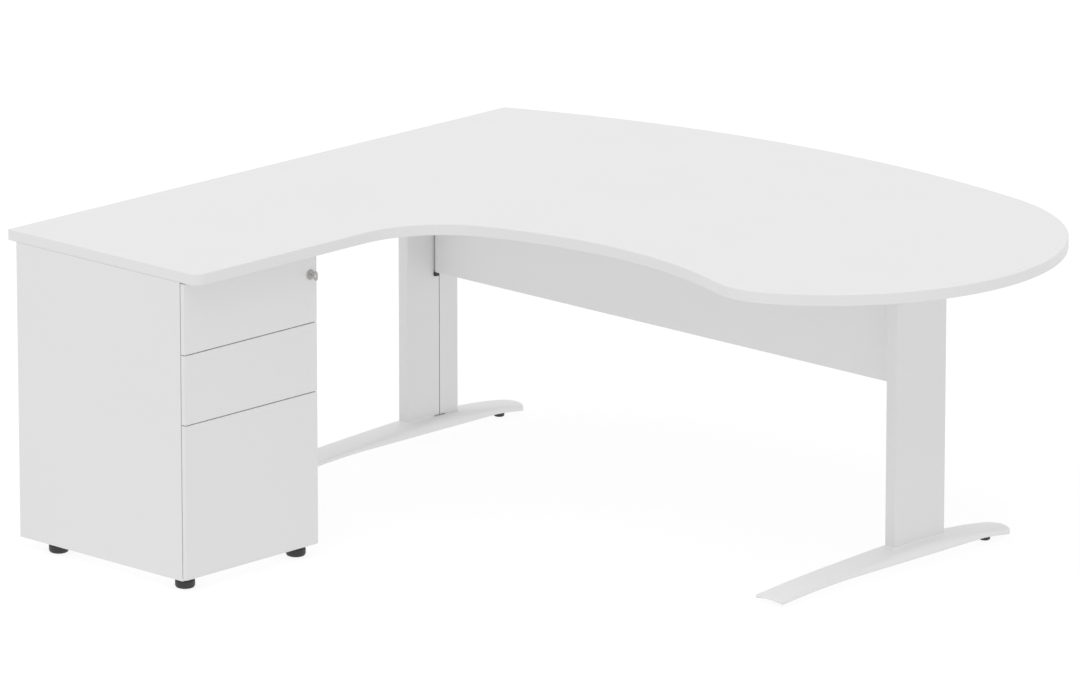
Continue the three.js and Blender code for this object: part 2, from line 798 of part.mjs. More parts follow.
function makeFittings() {
  const top = drawers.find(({ name }) => name === "top");
  const trayZ = top.boxZ + boxBottom;
  const trayFrontX = frontBackX - boxWall - trayFrontMargin;
  const trayBackX = trayFrontX - trayLength;
  const leftY = boxLeftY + boxWall + trayGap;
  const rightY = boxRightY - boxWall - trayGap;
  const middleX = (trayBackX + trayFrontX) / 2;
  const pocket = (x0, x1) => block(
    x0 + trayWall, x1 - trayWall, leftY + trayWall, rightY - trayWall,
    trayZ + trayWall, trayZ + trayHeight + cutOverrun,
  );
  const tray = block(trayBackX, trayFrontX, leftY, rightY, trayZ, trayZ + trayHeight);
  place("pencil_tray", cut(tray, pocket(trayBackX, middleX), pocket(middleX, trayFrontX)), greyPlastic);

  const filing = drawers.find(({ name }) => name === "filing");
  const wallTop = filing.boxZ + filing.boxHeight;
  const rail = (wallY, inward) => {
    const hangY = wallY + inward * (boxWall + seatGap);
    return [
      [wallY, wallTop],
      [hangY, wallTop],
      [hangY, wallTop - railDrop],
      [hangY + inward * railThickness, wallTop - railDrop],
      [hangY + inward * railThickness, wallTop + railRise],
      [hangY, wallTop + railRise],
      [hangY, wallTop + railThickness],
      [wallY, wallTop + railThickness],
    ];
  };
  const fromX = boxBackX + railEndMargin;
  const toX = frontBackX - railEndMargin;
  place("file_rail_outer", drawnAlongX(rail(boxLeftY, 1), fromX, toX), zincSteel);
  place("file_rail_inner", drawnAlongX(rail(boxRightY, -1), fromX, toX), zincSteel);
}

function makeLock() {
  const flangeFrontX = frontFaceX + lockFlangeThickness;
  const plugFrontX = flangeFrontX - lockPlugRecess;
  const barrel = barAlongX(housingBackX, frontFaceX + seatGap, lockY, lockHeight, lockBarrelRadius);
  const flange = barAlongX(frontFaceX, flangeFrontX, lockY, lockHeight, lockFlangeRadius);
  const bore = barAlongX(
    housingBackX - cutOverrun, flangeFrontX + cutOverrun, lockY, lockHeight, lockPlugRadius + lockBoreGap,
  );
  place("lock_housing", cut(join(barrel, flange), bore), zincSteel);

  const angle = THREE.MathUtils.degToRad(pegStartAngle);
  const pegY = lockY + pegOrbit * Math.cos(angle);
  const pegZ = lockHeight + pegOrbit * Math.sin(angle);
  const plug = barAlongX(camBackX + camThickness / 2, plugFrontX, lockY, lockHeight, lockPlugRadius);
  const cam = barAlongX(camBackX, camFrontX, lockY, lockHeight, camRadius);
  const peg = barAlongX(camBackX - pegLength, camFrontX - camThickness / 2, pegY, pegZ, pegRadius);
  const keyway = block(
    plugFrontX - keyBladeDepth - keySlotGap, plugFrontX + cutOverrun,
    lockY - keyThickness / 2 - keySlotGap, lockY + keyThickness / 2 + keySlotGap,
    lockHeight - keyBladeHeight / 2 - keySlotGap, lockHeight + keyBladeHeight / 2 + keySlotGap,
  );
  place("lock_plug", cut(join(plug, cam, peg), keyway), zincSteel);

  const half = keyBladeHeight / 2;
  const tall = keyBowHeight / 2;
  const bladeBack = plugFrontX - keyBladeDepth;
  const bowBack = plugFrontX + keyNeck;
  const bowFront = bowBack + keyBowLength;
  const outline = closedShape([
    [bladeBack, -half],
    [bowBack, -half],
    [bowBack, keyBowCorner - tall],
    [bowBack + keyBowCorner, -tall],
    [bowFront - keyBowCorner, -tall],
    [bowFront, keyBowCorner - tall],
    [bowFront, tall - keyBowCorner],
    [bowFront - keyBowCorner, tall],
    [bowBack + keyBowCorner, tall],
    [bowBack, tall - keyBowCorner],
    [bowBack, half],
    [bladeBack, half],
  ]);
  const hole = new THREE.Path();
  hole.absarc((bowBack + bowFront) / 2, 0, keyHoleRadius, 0, 2 * Math.PI, true);
  outline.holes.push(hole);
  const key = new THREE.ExtrudeGeometry(outline, {
    depth: keyThickness, bevelEnabled: false, curveSegments: arcSteps / 2,
  });
  key.rotateX(Math.PI / 2).translate(0, lockY + keyThickness / 2, lockHeight);
  place("key", key, zincSteel);

  const backY = innerRightY + seatGap;
  const frontY = backY + barThickness;
  const bottomZ = carcassLift + barEndMargin;
  const headLow = lockHeight - headPlateHeight / 2 - pegOrbit / 2;
  const headHigh = headLow + headPlateHeight;
  const strip = block(barBackX, barFrontX, backY, frontY, bottomZ, headHigh);
  const headFrontX = headPlateX + headPlateThickness;
  const neck = block(barFrontX - seatGap, headFrontX, backY, frontY, headLow, headHigh);
  const plateY = innerRightY + lockRecessDepth - seatGap;
  const plate = block(headPlateX, headFrontX, backY, plateY, headLow, headHigh);
  const slotHalf = pegRadius + pegSlotGap;
  const slot = block(
    headPlateX - cutOverrun, headFrontX + cutOverrun,
    pegY - slotHalf, plateY + cutOverrun, pegZ - slotHalf, pegZ + slotHalf,
  );
  const fingers = drawers.map(({ runnerZ }) => block(
    runnerFrontX + fingerPlay, runnerFrontX + fingerPlay + fingerWidth,
    boxRightY + runnerSteel + fingerTipGap, backY + barThickness / 2,
    fingerTopZ(runnerZ) - fingerHeight, fingerTopZ(runnerZ),
  ));
  place("locking_bar", cut(join(strip, neck, plate, ...fingers), slot), zincSteel);

  const guideX = (barBackX + barFrontX) / 2;
  const guides = [
    { name: "locking_bar_guide_lower", z: drawers[0].frontZ + drawers[0].frontHeight },
    { name: "locking_bar_guide_upper", z: drawers[1].frontZ + drawers[1].frontHeight },
  ];
  for (const { name, z } of guides) {
    place(name, block(
      guideX - guideWidth / 2, guideX + guideWidth / 2,
      innerRightY - guideThickness, innerRightY, z - guideHeight / 2, z + guideHeight / 2,
    ), blackPlastic);
  }
}

makeDesktop();
for (const [side, legX, inward] of [["left", leftLegX, 1], ["right", rightLegX, -1]]) {
  makeFoot(side, legX);
  makeColumn(side, legX, inward);
  makeArm(side, legX);
}
makeModesty();
makeCarcass();
drawers.forEach(makeDrawer);
makeFittings();
makeLock();

export default model;
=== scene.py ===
# %% [markdown]
# # A corner desk, from bare solids to a finished picture
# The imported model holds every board, post and runner at full size and in its place. This
# lesson loads it, makes the finishes, and then goes round the desk piece by piece. A piece
# whose corners or curves are too plain is made again here and stands for the bare one.

# %% Load the frame
import json
import math

import bmesh
import bpy
from mathutils import Matrix, Vector

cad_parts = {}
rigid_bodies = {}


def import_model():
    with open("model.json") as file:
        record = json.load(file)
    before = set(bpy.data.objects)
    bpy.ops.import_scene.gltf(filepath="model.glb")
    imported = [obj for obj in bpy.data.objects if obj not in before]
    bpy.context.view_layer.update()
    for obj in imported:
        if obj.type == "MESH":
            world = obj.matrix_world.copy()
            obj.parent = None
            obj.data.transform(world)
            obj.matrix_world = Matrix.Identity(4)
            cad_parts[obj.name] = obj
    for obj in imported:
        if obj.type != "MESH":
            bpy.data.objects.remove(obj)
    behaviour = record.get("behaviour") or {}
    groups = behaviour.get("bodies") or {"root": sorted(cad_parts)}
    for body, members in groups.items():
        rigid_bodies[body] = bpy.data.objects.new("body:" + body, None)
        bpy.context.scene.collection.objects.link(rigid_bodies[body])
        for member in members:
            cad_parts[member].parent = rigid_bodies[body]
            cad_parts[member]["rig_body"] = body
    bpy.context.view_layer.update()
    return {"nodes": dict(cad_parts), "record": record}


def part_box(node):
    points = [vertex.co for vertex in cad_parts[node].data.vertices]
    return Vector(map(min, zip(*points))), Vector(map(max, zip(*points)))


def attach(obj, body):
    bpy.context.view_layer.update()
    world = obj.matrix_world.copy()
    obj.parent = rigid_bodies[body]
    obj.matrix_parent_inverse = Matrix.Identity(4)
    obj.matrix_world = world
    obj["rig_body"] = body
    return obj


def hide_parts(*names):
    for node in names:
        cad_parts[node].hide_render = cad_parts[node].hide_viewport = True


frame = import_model()
nodes = frame["nodes"]
slot_of = {part["node"]: part["material_slot"] for part in frame["record"]["subparts"]}

# %% [markdown]
# ## Where the camera stands
# In the photograph upright edges look almost upright and parallel edges almost parallel,
# as they do from far off through a long lens. The place and the lens were solved from the
# desk's straight edges, and they are written here as lengths and angles.

# %% Camera
camera_place = Vector((14.42618, -15.30982, 6.10081))
camera_azimuth = math.radians(43.62)
camera_elevation = math.radians(15.03)
camera_sensor = 36.0
camera_lens = 324.18
camera_reach = 200.0

camera_data = bpy.data.cameras.new("studio_camera")
camera_data.sensor_width = camera_sensor
camera_data.lens = camera_lens
camera_data.clip_end = camera_reach
camera = bpy.data.objects.new("studio_camera", camera_data)
camera.location = camera_place
camera.rotation_euler = (math.pi / 2 - camera_elevation, 0, camera_azimuth)
bpy.context.scene.collection.objects.link(camera)
bpy.context.scene.camera = camera
print("the camera stands", round(camera_place.length, 2), "m away")

# %% [markdown]
# ## A white studio
# The desk stands in even light: a pale sky all round, and one very soft lamp from the
# user's side and above, so that the top is the brightest face. The floor and the sky look
# white to the camera and in reflections, through Light Path, while the light that they
# throw on the desk stays at a plain level.

# %% World, lamp and floor
sky_strength = 0.73
sky_look_strength = 1.0
lamp_strength = 0.84
lamp_angle = math.radians(60)
lamp_direction = Vector((-0.11, 0.31, -0.944))
floor_size = 60.0
floor_bounce = (0.15, 0.15, 0.15, 1)
floor_bounce_glow = 0.82
floor_own_glow = 0.86
floor_seen = (0.17, 0.17, 0.17, 1)
white = (1, 1, 1, 1)


def seen_directly(tree):
    """A socket that is 1 for camera rays and for what mirrors and glass show."""
    path = tree.nodes.new("ShaderNodeLightPath")
    seen = path.outputs["Is Camera Ray"]
    for ray in ("Is Glossy Ray", "Is Transmission Ray"):
        either = tree.nodes.new("ShaderNodeMath")
        either.operation = "MAXIMUM"
        tree.links.new(seen, either.inputs[0])
        tree.links.new(path.outputs[ray], either.inputs[1])
        seen = either.outputs[0]
    return seen


world = bpy.data.worlds.new("studio_sky")
world.use_nodes = True
bpy.context.scene.world = world
sky = world.node_tree
sky.nodes.clear()
sky_out = sky.nodes.new("ShaderNodeOutputWorld")
sky_mix = sky.nodes.new("ShaderNodeMixShader")
sky.links.new(seen_directly(sky), sky_mix.inputs[0])
sky.links.new(sky_mix.outputs[0], sky_out.inputs["Surface"])
for slot, strength in enumerate((sky_strength, sky_look_strength), 1):
    glow = sky.nodes.new("ShaderNodeBackground")
    glow.inputs["Color"].default_value = white
    glow.inputs["Strength"].default_value = strength
    sky.links.new(glow.outputs[0], sky_mix.inputs[slot])

lamp_data = bpy.data.lights.new("soft_lamp", "SUN")
lamp_data.energy = lamp_strength
lamp_data.angle = lamp_angle
lamp = bpy.data.objects.new("soft_lamp", lamp_data)
lamp.rotation_euler = lamp_direction.to_track_quat("-Z", "Y").to_euler()
bpy.context.scene.collection.objects.link(lamp)

floor_finish = bpy.data.materials.new("studio_floor")
floor_finish.use_nodes = True
tree = floor_finish.node_tree
tree.nodes.clear()
floor_out = tree.nodes.new("ShaderNodeOutputMaterial")
floor_mix = tree.nodes.new("ShaderNodeMixShader")
tree.links.new(seen_directly(tree), floor_mix.inputs[0])
tree.links.new(floor_mix.outputs[0], floor_out.inputs["Surface"])
floor_looks = ((floor_bounce, floor_bounce_glow), (floor_seen, floor_own_glow))
for slot, (color, strength) in enumerate(floor_looks, 1):
    shaded = tree.nodes.new("ShaderNodeBsdfDiffuse")
    shaded.inputs["Color"].default_value = color
    glow = tree.nodes.new("ShaderNodeEmission")
    glow.inputs["Strength"].default_value = strength
    both = tree.nodes.new("ShaderNodeAddShader")
    tree.links.new(shaded.outputs[0], both.inputs[0])
    tree.links.new(glow.outputs[0], both.inputs[1])
    tree.links.new(both.outputs[0], floor_mix.inputs[slot])

floor_shape = bmesh.new()
bmesh.ops.create_grid(floor_shape, x_segments=1, y_segments=1, size=floor_size)
floor_mesh = bpy.data.meshes.new("studio_floor")
floor_shape.to_mesh(floor_mesh)
floor_shape.free()
floor_mesh.materials.append(floor_finish)
floor = bpy.data.objects.new("studio_floor", floor_mesh)
bpy.context.scene.collection.objects.link(floor)
bpy.context.scene.view_settings.view_transform = "Standard"
print("studio ready, lamp", lamp_strength, "sky", sky_strength)

# %% [markdown]
# ## Effects that several finishes share
# Melamine, powder coat and moulded plastic differ in the size and depth of the same two
# things: a tone and gloss that drift a little from place to place, and a fine relief that
# breaks up reflections. Zinc plate has flakes instead of the drift. Each is a node group,
# built once, to which every finish gives tones of its own, and sizes in metres.


# %% Node groups
def new_group(name, inputs, outputs):
    """A shader node group with named sockets, and its input and output nodes."""
    group = bpy.data.node_groups.new(name, "ShaderNodeTree")
    for label, kind in inputs:
        group.interface.new_socket(name=label, in_out="INPUT", socket_type=kind)
    for label, kind in outputs:
        group.interface.new_socket(name=label, in_out="OUTPUT", socket_type=kind)
    return group, group.nodes.new("NodeGroupInput"), group.nodes.new("NodeGroupOutput")


def texture_of_size(group, entry, kind, size_label, ratio=1.0):
    """A texture with patches as big as the group's named size, divided by a ratio."""
    scale = group.nodes.new("ShaderNodeMath")
    scale.operation = "DIVIDE"
    scale.inputs[0].default_value = ratio
    group.links.new(entry.outputs[size_label], scale.inputs[1])
    texture = group.nodes.new(kind)
    group.links.new(entry.outputs["Vector"], texture.inputs["Vector"])
    group.links.new(scale.outputs[0], texture.inputs["Scale"])
    return texture


def noise_of_size(group, entry, size_label, detail, ratio=1.0):
    noise = texture_of_size(group, entry, "ShaderNodeTexNoise", size_label, ratio)
    noise.inputs["Detail"].default_value = detail
    return noise.outputs["Fac"]


def mixed(group, kind, factor, first, second):
    """A Mix node between two sockets, and the socket that it puts out."""
    mix = group.nodes.new("ShaderNodeMix")
    mix.data_type = kind
    picks = [socket for socket in mix.inputs if socket.enabled]
    for source, target in zip((factor, first, second), picks):
        group.links.new(source, target)
    return next(socket for socket in mix.outputs if socket.enabled)


def put_out_look(group, entry, out, tone_factor, gloss_factor):
    """Mixes the group's two tones and its two glosses, each by a factor of its own."""
    tone = mixed(group, "RGBA", tone_factor, entry.outputs["Pale"], entry.outputs["Deep"])
    gloss = mixed(
        group, "FLOAT", gloss_factor, entry.outputs["Glossier"], entry.outputs["Duller"]
    )
    group.links.new(tone, out.inputs["Color"])
    group.links.new(gloss, out.inputs["Roughness"])


color_kind = "NodeSocketColor"
float_kind = "NodeSocketFloat"
vector_kind = "NodeSocketVector"
pale_and_deep = [("Pale", color_kind), ("Deep", color_kind)]
gloss_range = [("Glossier", float_kind), ("Duller", float_kind)]
look_sockets = [("Color", color_kind), ("Roughness", float_kind)]

drift, drift_in, drift_out = new_group(
    "tone_and_gloss_drift",
    [("Vector", vector_kind), ("Patch size", float_kind), *pale_and_deep, *gloss_range],
    look_sockets,
)
tone_noise = noise_of_size(drift, drift_in, "Patch size", detail=3.0)
gloss_noise = noise_of_size(drift, drift_in, "Patch size", detail=5.0, ratio=3.0)
put_out_look(drift, drift_in, drift_out, tone_noise, gloss_noise)

relief, relief_in, relief_out = new_group(
    "fine_relief",
    [("Vector", vector_kind), ("Grain size", float_kind)],
    [("Height", float_kind)],
)
pebble_noise = noise_of_size(relief, relief_in, "Grain size", detail=1.0)
pore_noise = noise_of_size(relief, relief_in, "Grain size", detail=2.0, ratio=2.7)
pebble_and_pore = relief.nodes.new("ShaderNodeMath")
pebble_and_pore.operation = "ADD"
relief.links.new(pebble_noise, pebble_and_pore.inputs[0])
relief.links.new(pore_noise, pebble_and_pore.inputs[1])
relief.links.new(pebble_and_pore.outputs[0], relief_out.inputs["Height"])

spangle, spangle_in, spangle_out = new_group(
    "zinc_spangle",
    [("Vector", vector_kind), ("Flake size", float_kind), *pale_and_deep, *gloss_range],
    look_sockets,
)
flakes = texture_of_size(spangle, spangle_in, "ShaderNodeTexVoronoi", "Flake size")
flake_parts = spangle.nodes.new("ShaderNodeSeparateColor")
spangle.links.new(flakes.outputs["Color"], flake_parts.inputs[0])
put_out_look(
    spangle, spangle_in, spangle_out, flake_parts.outputs[0], flake_parts.outputs[1],
)
print("node groups:", [group.name for group in (drift, relief, spangle)])

# %% [markdown]
# ## The finishes
# All the big faces are nearly the same white: melamine on the boards, plastic edging, and
# powder coat on the steel, which has a coarser, rounder relief like orange peel. The
# pedestal's boards and the drawer fronts take the melamine a shade deeper, as painted shade
# that holds back the light on them, and the feet and welds take the powder coat a shade
# paler, as painted light against the shade that falls on them.
# What is left is small: black plastic and black steel, zinc-plated runners, the nickel
# lock and a grey tray. Every finish reads Object coordinates, so its pattern stays
# on the piece when a drawer slides out.


# %% Finishes
def grey(level, warmth=0.0):
    """A near-neutral colour from a brightness between 0 and 1, as light is measured."""
    return (level + warmth, level, level - warmth, 1)


def new_finish(name, pattern, pale, deep, patch, gloss, grain, depth, metallic=0.0):
    """A Principled material fed by one pattern group and the fine relief."""
    made = bpy.data.materials.new(name)
    made.use_nodes = True
    tree = made.node_tree
    shader = tree.nodes["Principled BSDF"]
    shader.inputs["Metallic"].default_value = metallic
    place = tree.nodes.new("ShaderNodeTexCoord")
    drifting = tree.nodes.new("ShaderNodeGroup")
    drifting.node_tree = pattern
    tree.links.new(place.outputs["Object"], drifting.inputs["Vector"])
    drifting.inputs[1].default_value = patch
    drifting.inputs["Pale"].default_value = pale
    drifting.inputs["Deep"].default_value = deep
    drifting.inputs["Glossier"].default_value = gloss[0]
    drifting.inputs["Duller"].default_value = gloss[1]
    tree.links.new(drifting.outputs["Color"], shader.inputs["Base Color"])
    tree.links.new(drifting.outputs["Roughness"], shader.inputs["Roughness"])
    raised = tree.nodes.new("ShaderNodeGroup")
    raised.node_tree = relief
    tree.links.new(place.outputs["Object"], raised.inputs["Vector"])
    raised.inputs["Grain size"].default_value = grain
    bump = tree.nodes.new("ShaderNodeBump")
    bump.inputs["Distance"].default_value = depth
    tree.links.new(raised.outputs["Height"], bump.inputs["Height"])
    tree.links.new(bump.outputs["Normal"], shader.inputs["Normal"])
    return made


finishes = {
    "board": new_finish(
        "white_melamine", drift, grey(0.815), grey(0.800), 0.35, (0.40, 0.50), 0.0016, 0.00002,
    ),
    # A shade deeper copy of the melamine: painted shade on the pedestal and drawer fronts.
    "board_with_painted_shade": new_finish(
        "melamine_with_painted_shade", drift, grey(0.793), grey(0.779), 0.35, (0.40, 0.50), 0.0016, 0.00002,
    ),
    "edging": new_finish(
        "white_plastic_edging", drift, grey(0.790), grey(0.775), 0.30, (0.34, 0.42),
        0.0030, 0.00002,
    ),
    "coated_steel": new_finish(
        "white_powder_coat", drift, grey(0.780), grey(0.760), 0.25, (0.36, 0.46), 0.0024, 0.00005,
    ),
    # A shade paler copy of the powder coat: painted light on the feet and welds.
    "powder_coat_with_painted_light": new_finish(
        "powder_coat_painted_light", drift, grey(0.845), grey(0.825), 0.25, (0.36, 0.46), 0.0024, 0.00005,
    ),
    # Black powder coat, which at the post seams is also painted shade.
    "black_steel": new_finish(
        "black_coat_and_painted_seam_shade", drift, grey(0.030), grey(0.022), 0.05, (0.42, 0.55), 0.0016, 0.00005,
    ),
    "black_plastic": new_finish(
        "black_moulded_plastic", drift, grey(0.032), grey(0.022), 0.03, (0.40, 0.55),
        0.0006, 0.00003,
    ),
    "grey_plastic": new_finish(
        "grey_moulded_plastic", drift, grey(0.250), grey(0.225), 0.08, (0.45, 0.58),
        0.0008, 0.00003,
    ),
    "zinc_steel": new_finish(
        "zinc_plate", spangle, grey(0.62, -0.006), grey(0.50, -0.006), 0.006, (0.28, 0.42),
        0.0012, 0.00002, 1.0,
    ),
    "lock_nickel": new_finish(
        "satin_nickel", drift, grey(0.45, 0.006), grey(0.41, 0.005), 0.004, (0.36, 0.46),
        0.0004, 0.00001, 1.0,
    ),
    # The key's own paler nickel, also used as painted light on the lock plug.
    "pale_nickel_painted_light": new_finish(
        "pale_nickel_and_painted_light", drift, grey(0.66, 0.010), grey(0.58, 0.008), 0.004, (0.30, 0.40),
        0.0004, 0.00001, 1.0,
    ),
}
print("finishes:", sorted(finishes))

# %% [markdown]
# ## Helpers for making pieces
# A real board or folded sheet never has a razor edge: a router, a press brake or a coat of
# paint rounds it. So many pieces are a copy of the bare solid, merged into one skin, with
# its flat triangles dissolved into whole faces and its outward corners bevelled. The
# WeightedNormal modifier then keeps the big faces shading flat beside those tiny rounds.

# %% Piece helpers
crease_angle = math.radians(30)
flat_angle = math.radians(0.5)
merge_distance = 0.00001
thickness_cosine = 0.5


def body_of(node):
    return nodes[node]["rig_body"]


def soften(shape, radius, segments=3, keep=None):
    """Rounds the outward corners of a shape, or only those that keep() accepts."""
    sharp = [
        edge for edge in shape.edges
        if edge.is_manifold and edge.is_convex and edge.calc_face_angle() > crease_angle
        and (keep is None or keep(edge))
    ]
    bmesh.ops.bevel(
        shape, geom=sharp, offset=radius, offset_type="OFFSET", segments=segments,
        profile=0.5, affect="EDGES", clamp_overlap=True, material=-1,
    )


def without_slivers(shape):
    """Merges the doubles of a shape and dissolves its flat slivers."""
    bmesh.ops.remove_doubles(shape, verts=shape.verts, dist=merge_distance)
    bmesh.ops.dissolve_degenerate(shape, edges=shape.edges, dist=merge_distance)
    return shape


def new_piece(name, shape, body, slot, stands_for=(), finish_slots=None, even=True):
    """Puts a finished shape into the scene as a piece that rides on a body."""
    mesh = bpy.data.meshes.new(name)
    shape.to_mesh(mesh)
    shape.free()
    for finish in finish_slots or (slot,):
        mesh.materials.append(finishes[finish])
    mesh.shade_smooth()
    mesh.set_sharp_from_angle(angle=crease_angle)
    piece = bpy.data.objects.new(name, mesh)
    bpy.context.scene.collection.objects.link(piece)
    if even:
        piece.modifiers.new("even_shading", "WEIGHTED_NORMAL").keep_sharp = True
    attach(piece, body)
    if stands_for:
        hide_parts(*stands_for)
    return piece


def whole_faces(node):
    """A copy of a bare solid with its doubles merged and its flat triangles dissolved."""
    shape = bmesh.new()
    shape.from_mesh(nodes[node].data)
    bmesh.ops.remove_doubles(shape, verts=shape.verts, dist=merge_distance)
    bmesh.ops.dissolve_limit(
        shape, angle_limit=flat_angle, verts=shape.verts, edges=shape.edges,
    )
    for face in shape.faces:
        face.material_index = 0
    return shape


def rounded_copy(node, radius, segments=3, keep=None, finish=None, second=None, takes=None):
    """The bare solid again with soft corners; faces that takes() picks get a second finish."""
    shape = whole_faces(node)
    if takes:
        shape.normal_update()
        for face in shape.faces:
            face.material_index = int(takes(face))
    soften(shape, radius, segments, keep)
    first = finish or slot_of[node]
    slots = (first, second) if second else (first,)
    return new_piece(
        f"{node}_rounded", shape, body_of(node), slot_of[node], (node,), slots,
    )


def narrow_side(axis):
    """Picks the faces of a board that don't look along its thickness."""
    return lambda face: abs(face.normal.dot(axis)) <= thickness_cosine


def chain(shape, points):
    """Vertices through the points, joined one after the other."""
    verts = [shape.verts.new(point) for point in points]
    edges = [shape.edges.new(pair) for pair in zip(verts, verts[1:])]
    return verts, edges


def turned(profile, steps=48):
    """A solid of revolution about Z from [radius, height] pairs."""
    shape = bmesh.new()
    verts, edges = chain(shape, [(radius, 0, height) for radius, height in profile])
    bmesh.ops.spin(
        shape, geom=verts + edges, cent=(0, 0, 0), axis=(0, 0, 1), angle=2 * math.pi,
        steps=steps, use_merge=True, use_duplicate=False,
    )
    bmesh.ops.remove_doubles(shape, verts=shape.verts, dist=merge_distance)
    bmesh.ops.recalc_face_normals(shape, faces=shape.faces)
    return shape


def moved(shape, matrix):
    bmesh.ops.transform(shape, matrix=matrix, verts=shape.verts)
    return shape


def facing(direction, place):
    """The matrix that turns +Z to a direction and then moves the origin to a place."""
    turn = Vector(direction).to_track_quat("Z", "Y").to_matrix().to_4x4()
    return Matrix.Translation(place) @ turn


def rectangle(width, height, x, y):
    """A flat face of that size, centred on a place."""
    shape = bmesh.new()
    bmesh.ops.create_grid(shape, x_segments=1, y_segments=1, size=0.5)
    centre = Matrix.Translation((x, y, 0))
    return moved(shape, centre @ Matrix.Diagonal((width, height, 1, 1)))


print("helpers ready")

# %% [markdown]
# ## The desktop
# The top is a 25 mm board with 2 mm plastic edging all round. Its outline is a chain of
# straight sides and tangent arcs, so it is drawn as a fitter would mark it out: each arc
# is a vertex spun about the arc's centre. The closed outline becomes a face, an inset
# splits it into the edging's ring and the board inside it, and each is raised.

# %% Desktop outline
desk_corner, desk_far_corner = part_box("desktop_edge_band")
desk_length = desk_far_corner.x - desk_corner.x
desk_depth = desk_far_corner.y - desk_corner.y
board_thickness = desk_far_corner.z - desk_corner.z
band_thickness = 0.002
bow_rise = 0.208
bow_peak = 0.988
return_width = 0.600
front_corner_radius = 0.028
inner_corner_radius = 0.240
nose_radius = 0.170
end_radius = 0.544
nose_angle = math.radians(-61)
sweep_end_angle = math.radians(68.3)
sweep_start_angle = math.radians(110.5)
facet_length = 0.012
fewest_facets = 16


def towards(angle, distance):
    return Vector((math.cos(angle), math.sin(angle), 0)) * distance


def add_arc(shape, vert, centre, angle):
    """Spins a vertex about a centre and gives the vertex at the arc's end."""
    length = (vert.co - centre).length * abs(angle)
    steps = max(fewest_facets, math.ceil(length / facet_length))
    spun = bmesh.ops.spin(
        shape, geom=[vert], cent=centre, axis=(0, 0, 1), angle=angle, steps=steps,
        use_duplicate=False,
    )
    return spun["geom_last"][0]


def add_straight(shape, vert, place):
    end = shape.verts.new(place)
    shape.edges.new((vert, end))
    return end


def desktop_face():
    """The desktop's outline as one face, with the return's front corner at the origin."""
    bow_radius = (bow_peak**2 + bow_rise**2) / (2 * bow_rise)
    bow = Vector((bow_peak, desk_depth - bow_radius, 0))
    end_x = desk_length - end_radius
    end_lift = math.sqrt((bow_radius - end_radius) ** 2 - (end_x - bow_peak) ** 2)
    end = Vector((end_x, bow.y + end_lift, 0))
    nose = end + towards(nose_angle, end_radius - nose_radius)
    reach = (
        nose.x - return_width - inner_corner_radius
        - nose_radius * math.cos(sweep_end_angle)
        - inner_corner_radius * math.cos(sweep_start_angle)
    )
    sweep_radius = reach / (math.cos(sweep_end_angle) - math.cos(sweep_start_angle))
    sweep = nose - towards(sweep_end_angle, sweep_radius + nose_radius)
    inner = sweep + towards(sweep_start_angle, sweep_radius - inner_corner_radius)
    joint_angle = math.atan2(end.y - bow.y, end.x - bow.x)
    corner_angle = math.acos(-bow_peak / bow_radius)

    shape = bmesh.new()
    first = shape.verts.new((0, 0, 0))
    last = add_straight(shape, first, (return_width - front_corner_radius, 0, 0))
    corner = Vector((return_width - front_corner_radius, front_corner_radius, 0))
    last = add_arc(shape, last, corner, math.pi / 2)
    last = add_straight(shape, last, (return_width, inner.y, 0))
    last = add_arc(shape, last, inner, sweep_start_angle - math.pi)
    last = add_arc(shape, last, sweep, sweep_end_angle - sweep_start_angle)
    last = add_arc(shape, last, nose, nose_angle + math.pi - sweep_end_angle)
    last = add_arc(shape, last, end, joint_angle - nose_angle)
    last = add_arc(shape, last, bow, corner_angle - joint_angle)
    shape.edges.new((last, first))
    bmesh.ops.contextual_create(shape, geom=shape.edges[:])
    return shape


# %% [markdown]
# ### Board and edging
# The same steps make the drawer fronts later, so they are a helper: the face is inset,
# one of its two parts is thrown away, and the rest is raised. The edging's outer corners
# are trimmed round as a hand trimmer leaves them, and where edging and board meet both
# have a hair of a chamfer, which shows as the fine joint line of a real banded board.

# %% Banded boards
edging_round = 0.0015
front_round = 0.0009
joint_chamfer = 0.0002
square_angle = math.radians(80)
rim_digits = 6


def raise_faces(shape, faces, height):
    """Raises faces into a closed body of that height."""
    raised = bmesh.ops.extrude_face_region(shape, geom=faces)
    tops = [item for item in raised["geom"] if isinstance(item, bmesh.types.BMVert)]
    bmesh.ops.translate(shape, vec=(0, 0, height), verts=tops)
    bmesh.ops.recalc_face_normals(shape, faces=shape.faces)


def plan_place(point):
    """Where a point lies as seen from above, rounded so that two such places compare."""
    return round(point.x, rim_digits), round(point.y, rim_digits)


def banded_parts(make_face, thickness, rounding):
    """The board and its edging from the face that make_face() draws, lying flat."""
    parts = []
    for wanted in ("board", "edging"):
        shape = make_face()
        rim = {plan_place(vert.co) for vert in shape.verts}
        ring = bmesh.ops.inset_region(
            shape, faces=shape.faces[:], thickness=band_thickness, use_boundary=True,
            use_even_offset=True,
        )["faces"]
        inside = [face for face in shape.faces if face not in set(ring)]
        dropped = ring if wanted == "board" else inside
        bmesh.ops.delete(shape, geom=dropped, context="FACES")
        raise_faces(shape, shape.faces[:], thickness)
        if wanted == "edging":
            soften(shape, rounding, keep=lambda edge: all(
                plan_place(vert.co) in rim for vert in edge.verts
            ))
        soften(shape, joint_chamfer, 1, lambda edge: edge.calc_face_angle() > square_angle)
        parts.append(shape)
    return parts


